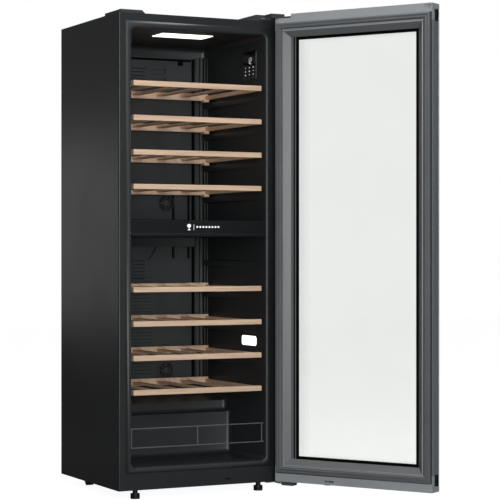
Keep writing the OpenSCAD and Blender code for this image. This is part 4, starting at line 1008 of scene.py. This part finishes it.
class CoolerStage(bpy.types.Operator):
    """Sets the pale floor, the soft lights and the camera"""

    bl_idname = "cooler.stage"
    bl_label = "Stage"

    def execute(self, context):
        size = context.scene.cooler_stage
        context.scene.view_settings.view_transform = "Standard"
        self.floor()
        self.backdrop(context, size)
        for name, place, aim, width, height, power in (
                ("side_softbox", (-1.62, 2.6, 0.88), (-0.28, 0, 0.85), 1.6, 0.9, 1.9),
                ("front_softbox", (-1.0, -4.4, 1.2), (0, 0, 0.8), 2.4, 2.2, 105),
                ("top_softbox", (0.1, -0.7, 3.6), (0.1, -0.1, 1.4), 1.8, 1.4, 60)):
            self.softbox(name, Vector(place), Vector(aim), width, height, power)
        camera = bpy.data.objects.new("camera", bpy.data.cameras.new("camera"))
        context.scene.collection.objects.link(camera)
        camera.location = size.camera
        camera.rotation_euler = (math.pi / 2, 0, size.turn)
        camera.data.lens = size.lens
        context.scene.camera = camera
        return {"FINISHED"}

    def floor(self):
        bm = bmesh.new()
        bmesh.ops.create_grid(bm, x_segments=1, y_segments=1, size=12.0)
        mesh = bpy.data.meshes.new("floor")
        bm.to_mesh(mesh)
        bm.free()
        mat, shader = moulded("floor_white", (0.8, 0.8, 0.8), 0.004, 1.0, (0.6, 0.7), 40.0, 0.02)
        seen = self.seen(mat.node_tree)
        glow = add_node(mat, "ShaderNodeMapRange", {"To Min": 0.0, "To Max": 0.95})
        wire(mat, seen, 0, glow, "Value")
        wire(mat, glow, "Result", shader, "Emission Strength")
        pale = add_node(mat, "ShaderNodeMix", {6: (0.10, 0.10, 0.10, 1), 7: (0.25, 0.25, 0.25, 1)},
                        data_type="RGBA")
        wire(mat, seen, 0, pale, 0)
        wire(mat, pale, 2, shader, "Base Color")
        shader.inputs["Emission Color"].default_value = (1, 1, 1, 1)
        mesh.materials.append(mat)
        floor = bpy.data.objects.new("floor", mesh)
        bpy.context.scene.collection.objects.link(floor)
        floor.location.z = -0.0005

    def seen(self, tree):
        """One where the camera sees a thing, bare or through glass, and none elsewhere."""
        path = tree.nodes.new("ShaderNodeLightPath")
        either = tree.nodes.new("ShaderNodeMath")
        either.operation = "MAXIMUM"
        tree.links.new(path.outputs["Is Camera Ray"], either.inputs[0])
        tree.links.new(path.outputs["Is Transmission Ray"], either.inputs[1])
        return either

    def backdrop(self, context, size):
        """White where it is seen, dim where it only lights."""
        world = bpy.data.worlds.new("studio")
        context.scene.world = world
        world.use_nodes = True
        nodes = world.node_tree.nodes
        links = world.node_tree.links
        nodes.clear()
        seen = self.seen(world.node_tree)
        level = nodes.new("ShaderNodeMapRange")
        level.inputs["To Min"].default_value = size.ambient
        level.inputs["To Max"].default_value = size.backdrop
        links.new(seen.outputs[0], level.inputs["Value"])
        light = nodes.new("ShaderNodeBackground")
        light.inputs["Color"].default_value = (1, 1, 1, 1)
        links.new(level.outputs["Result"], light.inputs["Strength"])
        output = nodes.new("ShaderNodeOutputWorld")
        links.new(light.outputs[0], output.inputs["Surface"])

    def softbox(self, name, place, aim, width, height, power):
        data = bpy.data.lights.new(name, "AREA")
        data.shape = "RECTANGLE"
        data.size = width
        data.size_y = height
        data.energy = power
        box = bpy.data.objects.new(name, data)
        bpy.context.scene.collection.objects.link(box)
        box.location = place
        box.rotation_euler = (aim - place).to_track_quat("-Z", "Y").to_euler()


GROUPS = {
    "cooler_finish": CoolerFinishSettings,
    "cooler_liner": CoolerLinerSettings,
    "cooler_shelf": CoolerShelfSettings,
    "cooler_stage": CoolerStageSettings,
}
OPERATORS = (CoolerStage, CoolerFinishes, CoolerLiner, CoolerFoam, CoolerShelves,
             CoolerDoor, CoolerCovers, CoolerDetails)


class CoolerPanel(bpy.types.Panel):
    """Lists the cooler's pieces and settings"""

    bl_idname = "VIEW3D_PT_cooler"
    bl_label = "Wine cooler"
    bl_space_type = "VIEW_3D"
    bl_region_type = "UI"
    bl_category = "Cooler"

    def draw(self, context):
        for operator in OPERATORS:
            self.layout.operator(operator.bl_idname)
        for name, group in GROUPS.items():
            column = self.layout.column()
            for prop in group.__annotations__:
                column.prop(getattr(context.scene, name), prop)


def register():
    for cls in (*GROUPS.values(), *OPERATORS, CoolerPanel):
        bpy.utils.register_class(cls)
    for name, group in GROUPS.items():
        setattr(bpy.types.Scene, name, PointerProperty(type=group))


def unregister():
    for name in GROUPS:
        delattr(bpy.types.Scene, name)
    for cls in (CoolerPanel, *reversed(OPERATORS), *reversed(GROUPS.values())):
        bpy.utils.unregister_class(cls)


def main():
    register()
    for operator in OPERATORS:
        group, name = operator.bl_idname.split(".")
        getattr(getattr(bpy.ops, group), name)()


if __name__ == "__main__":
    main()
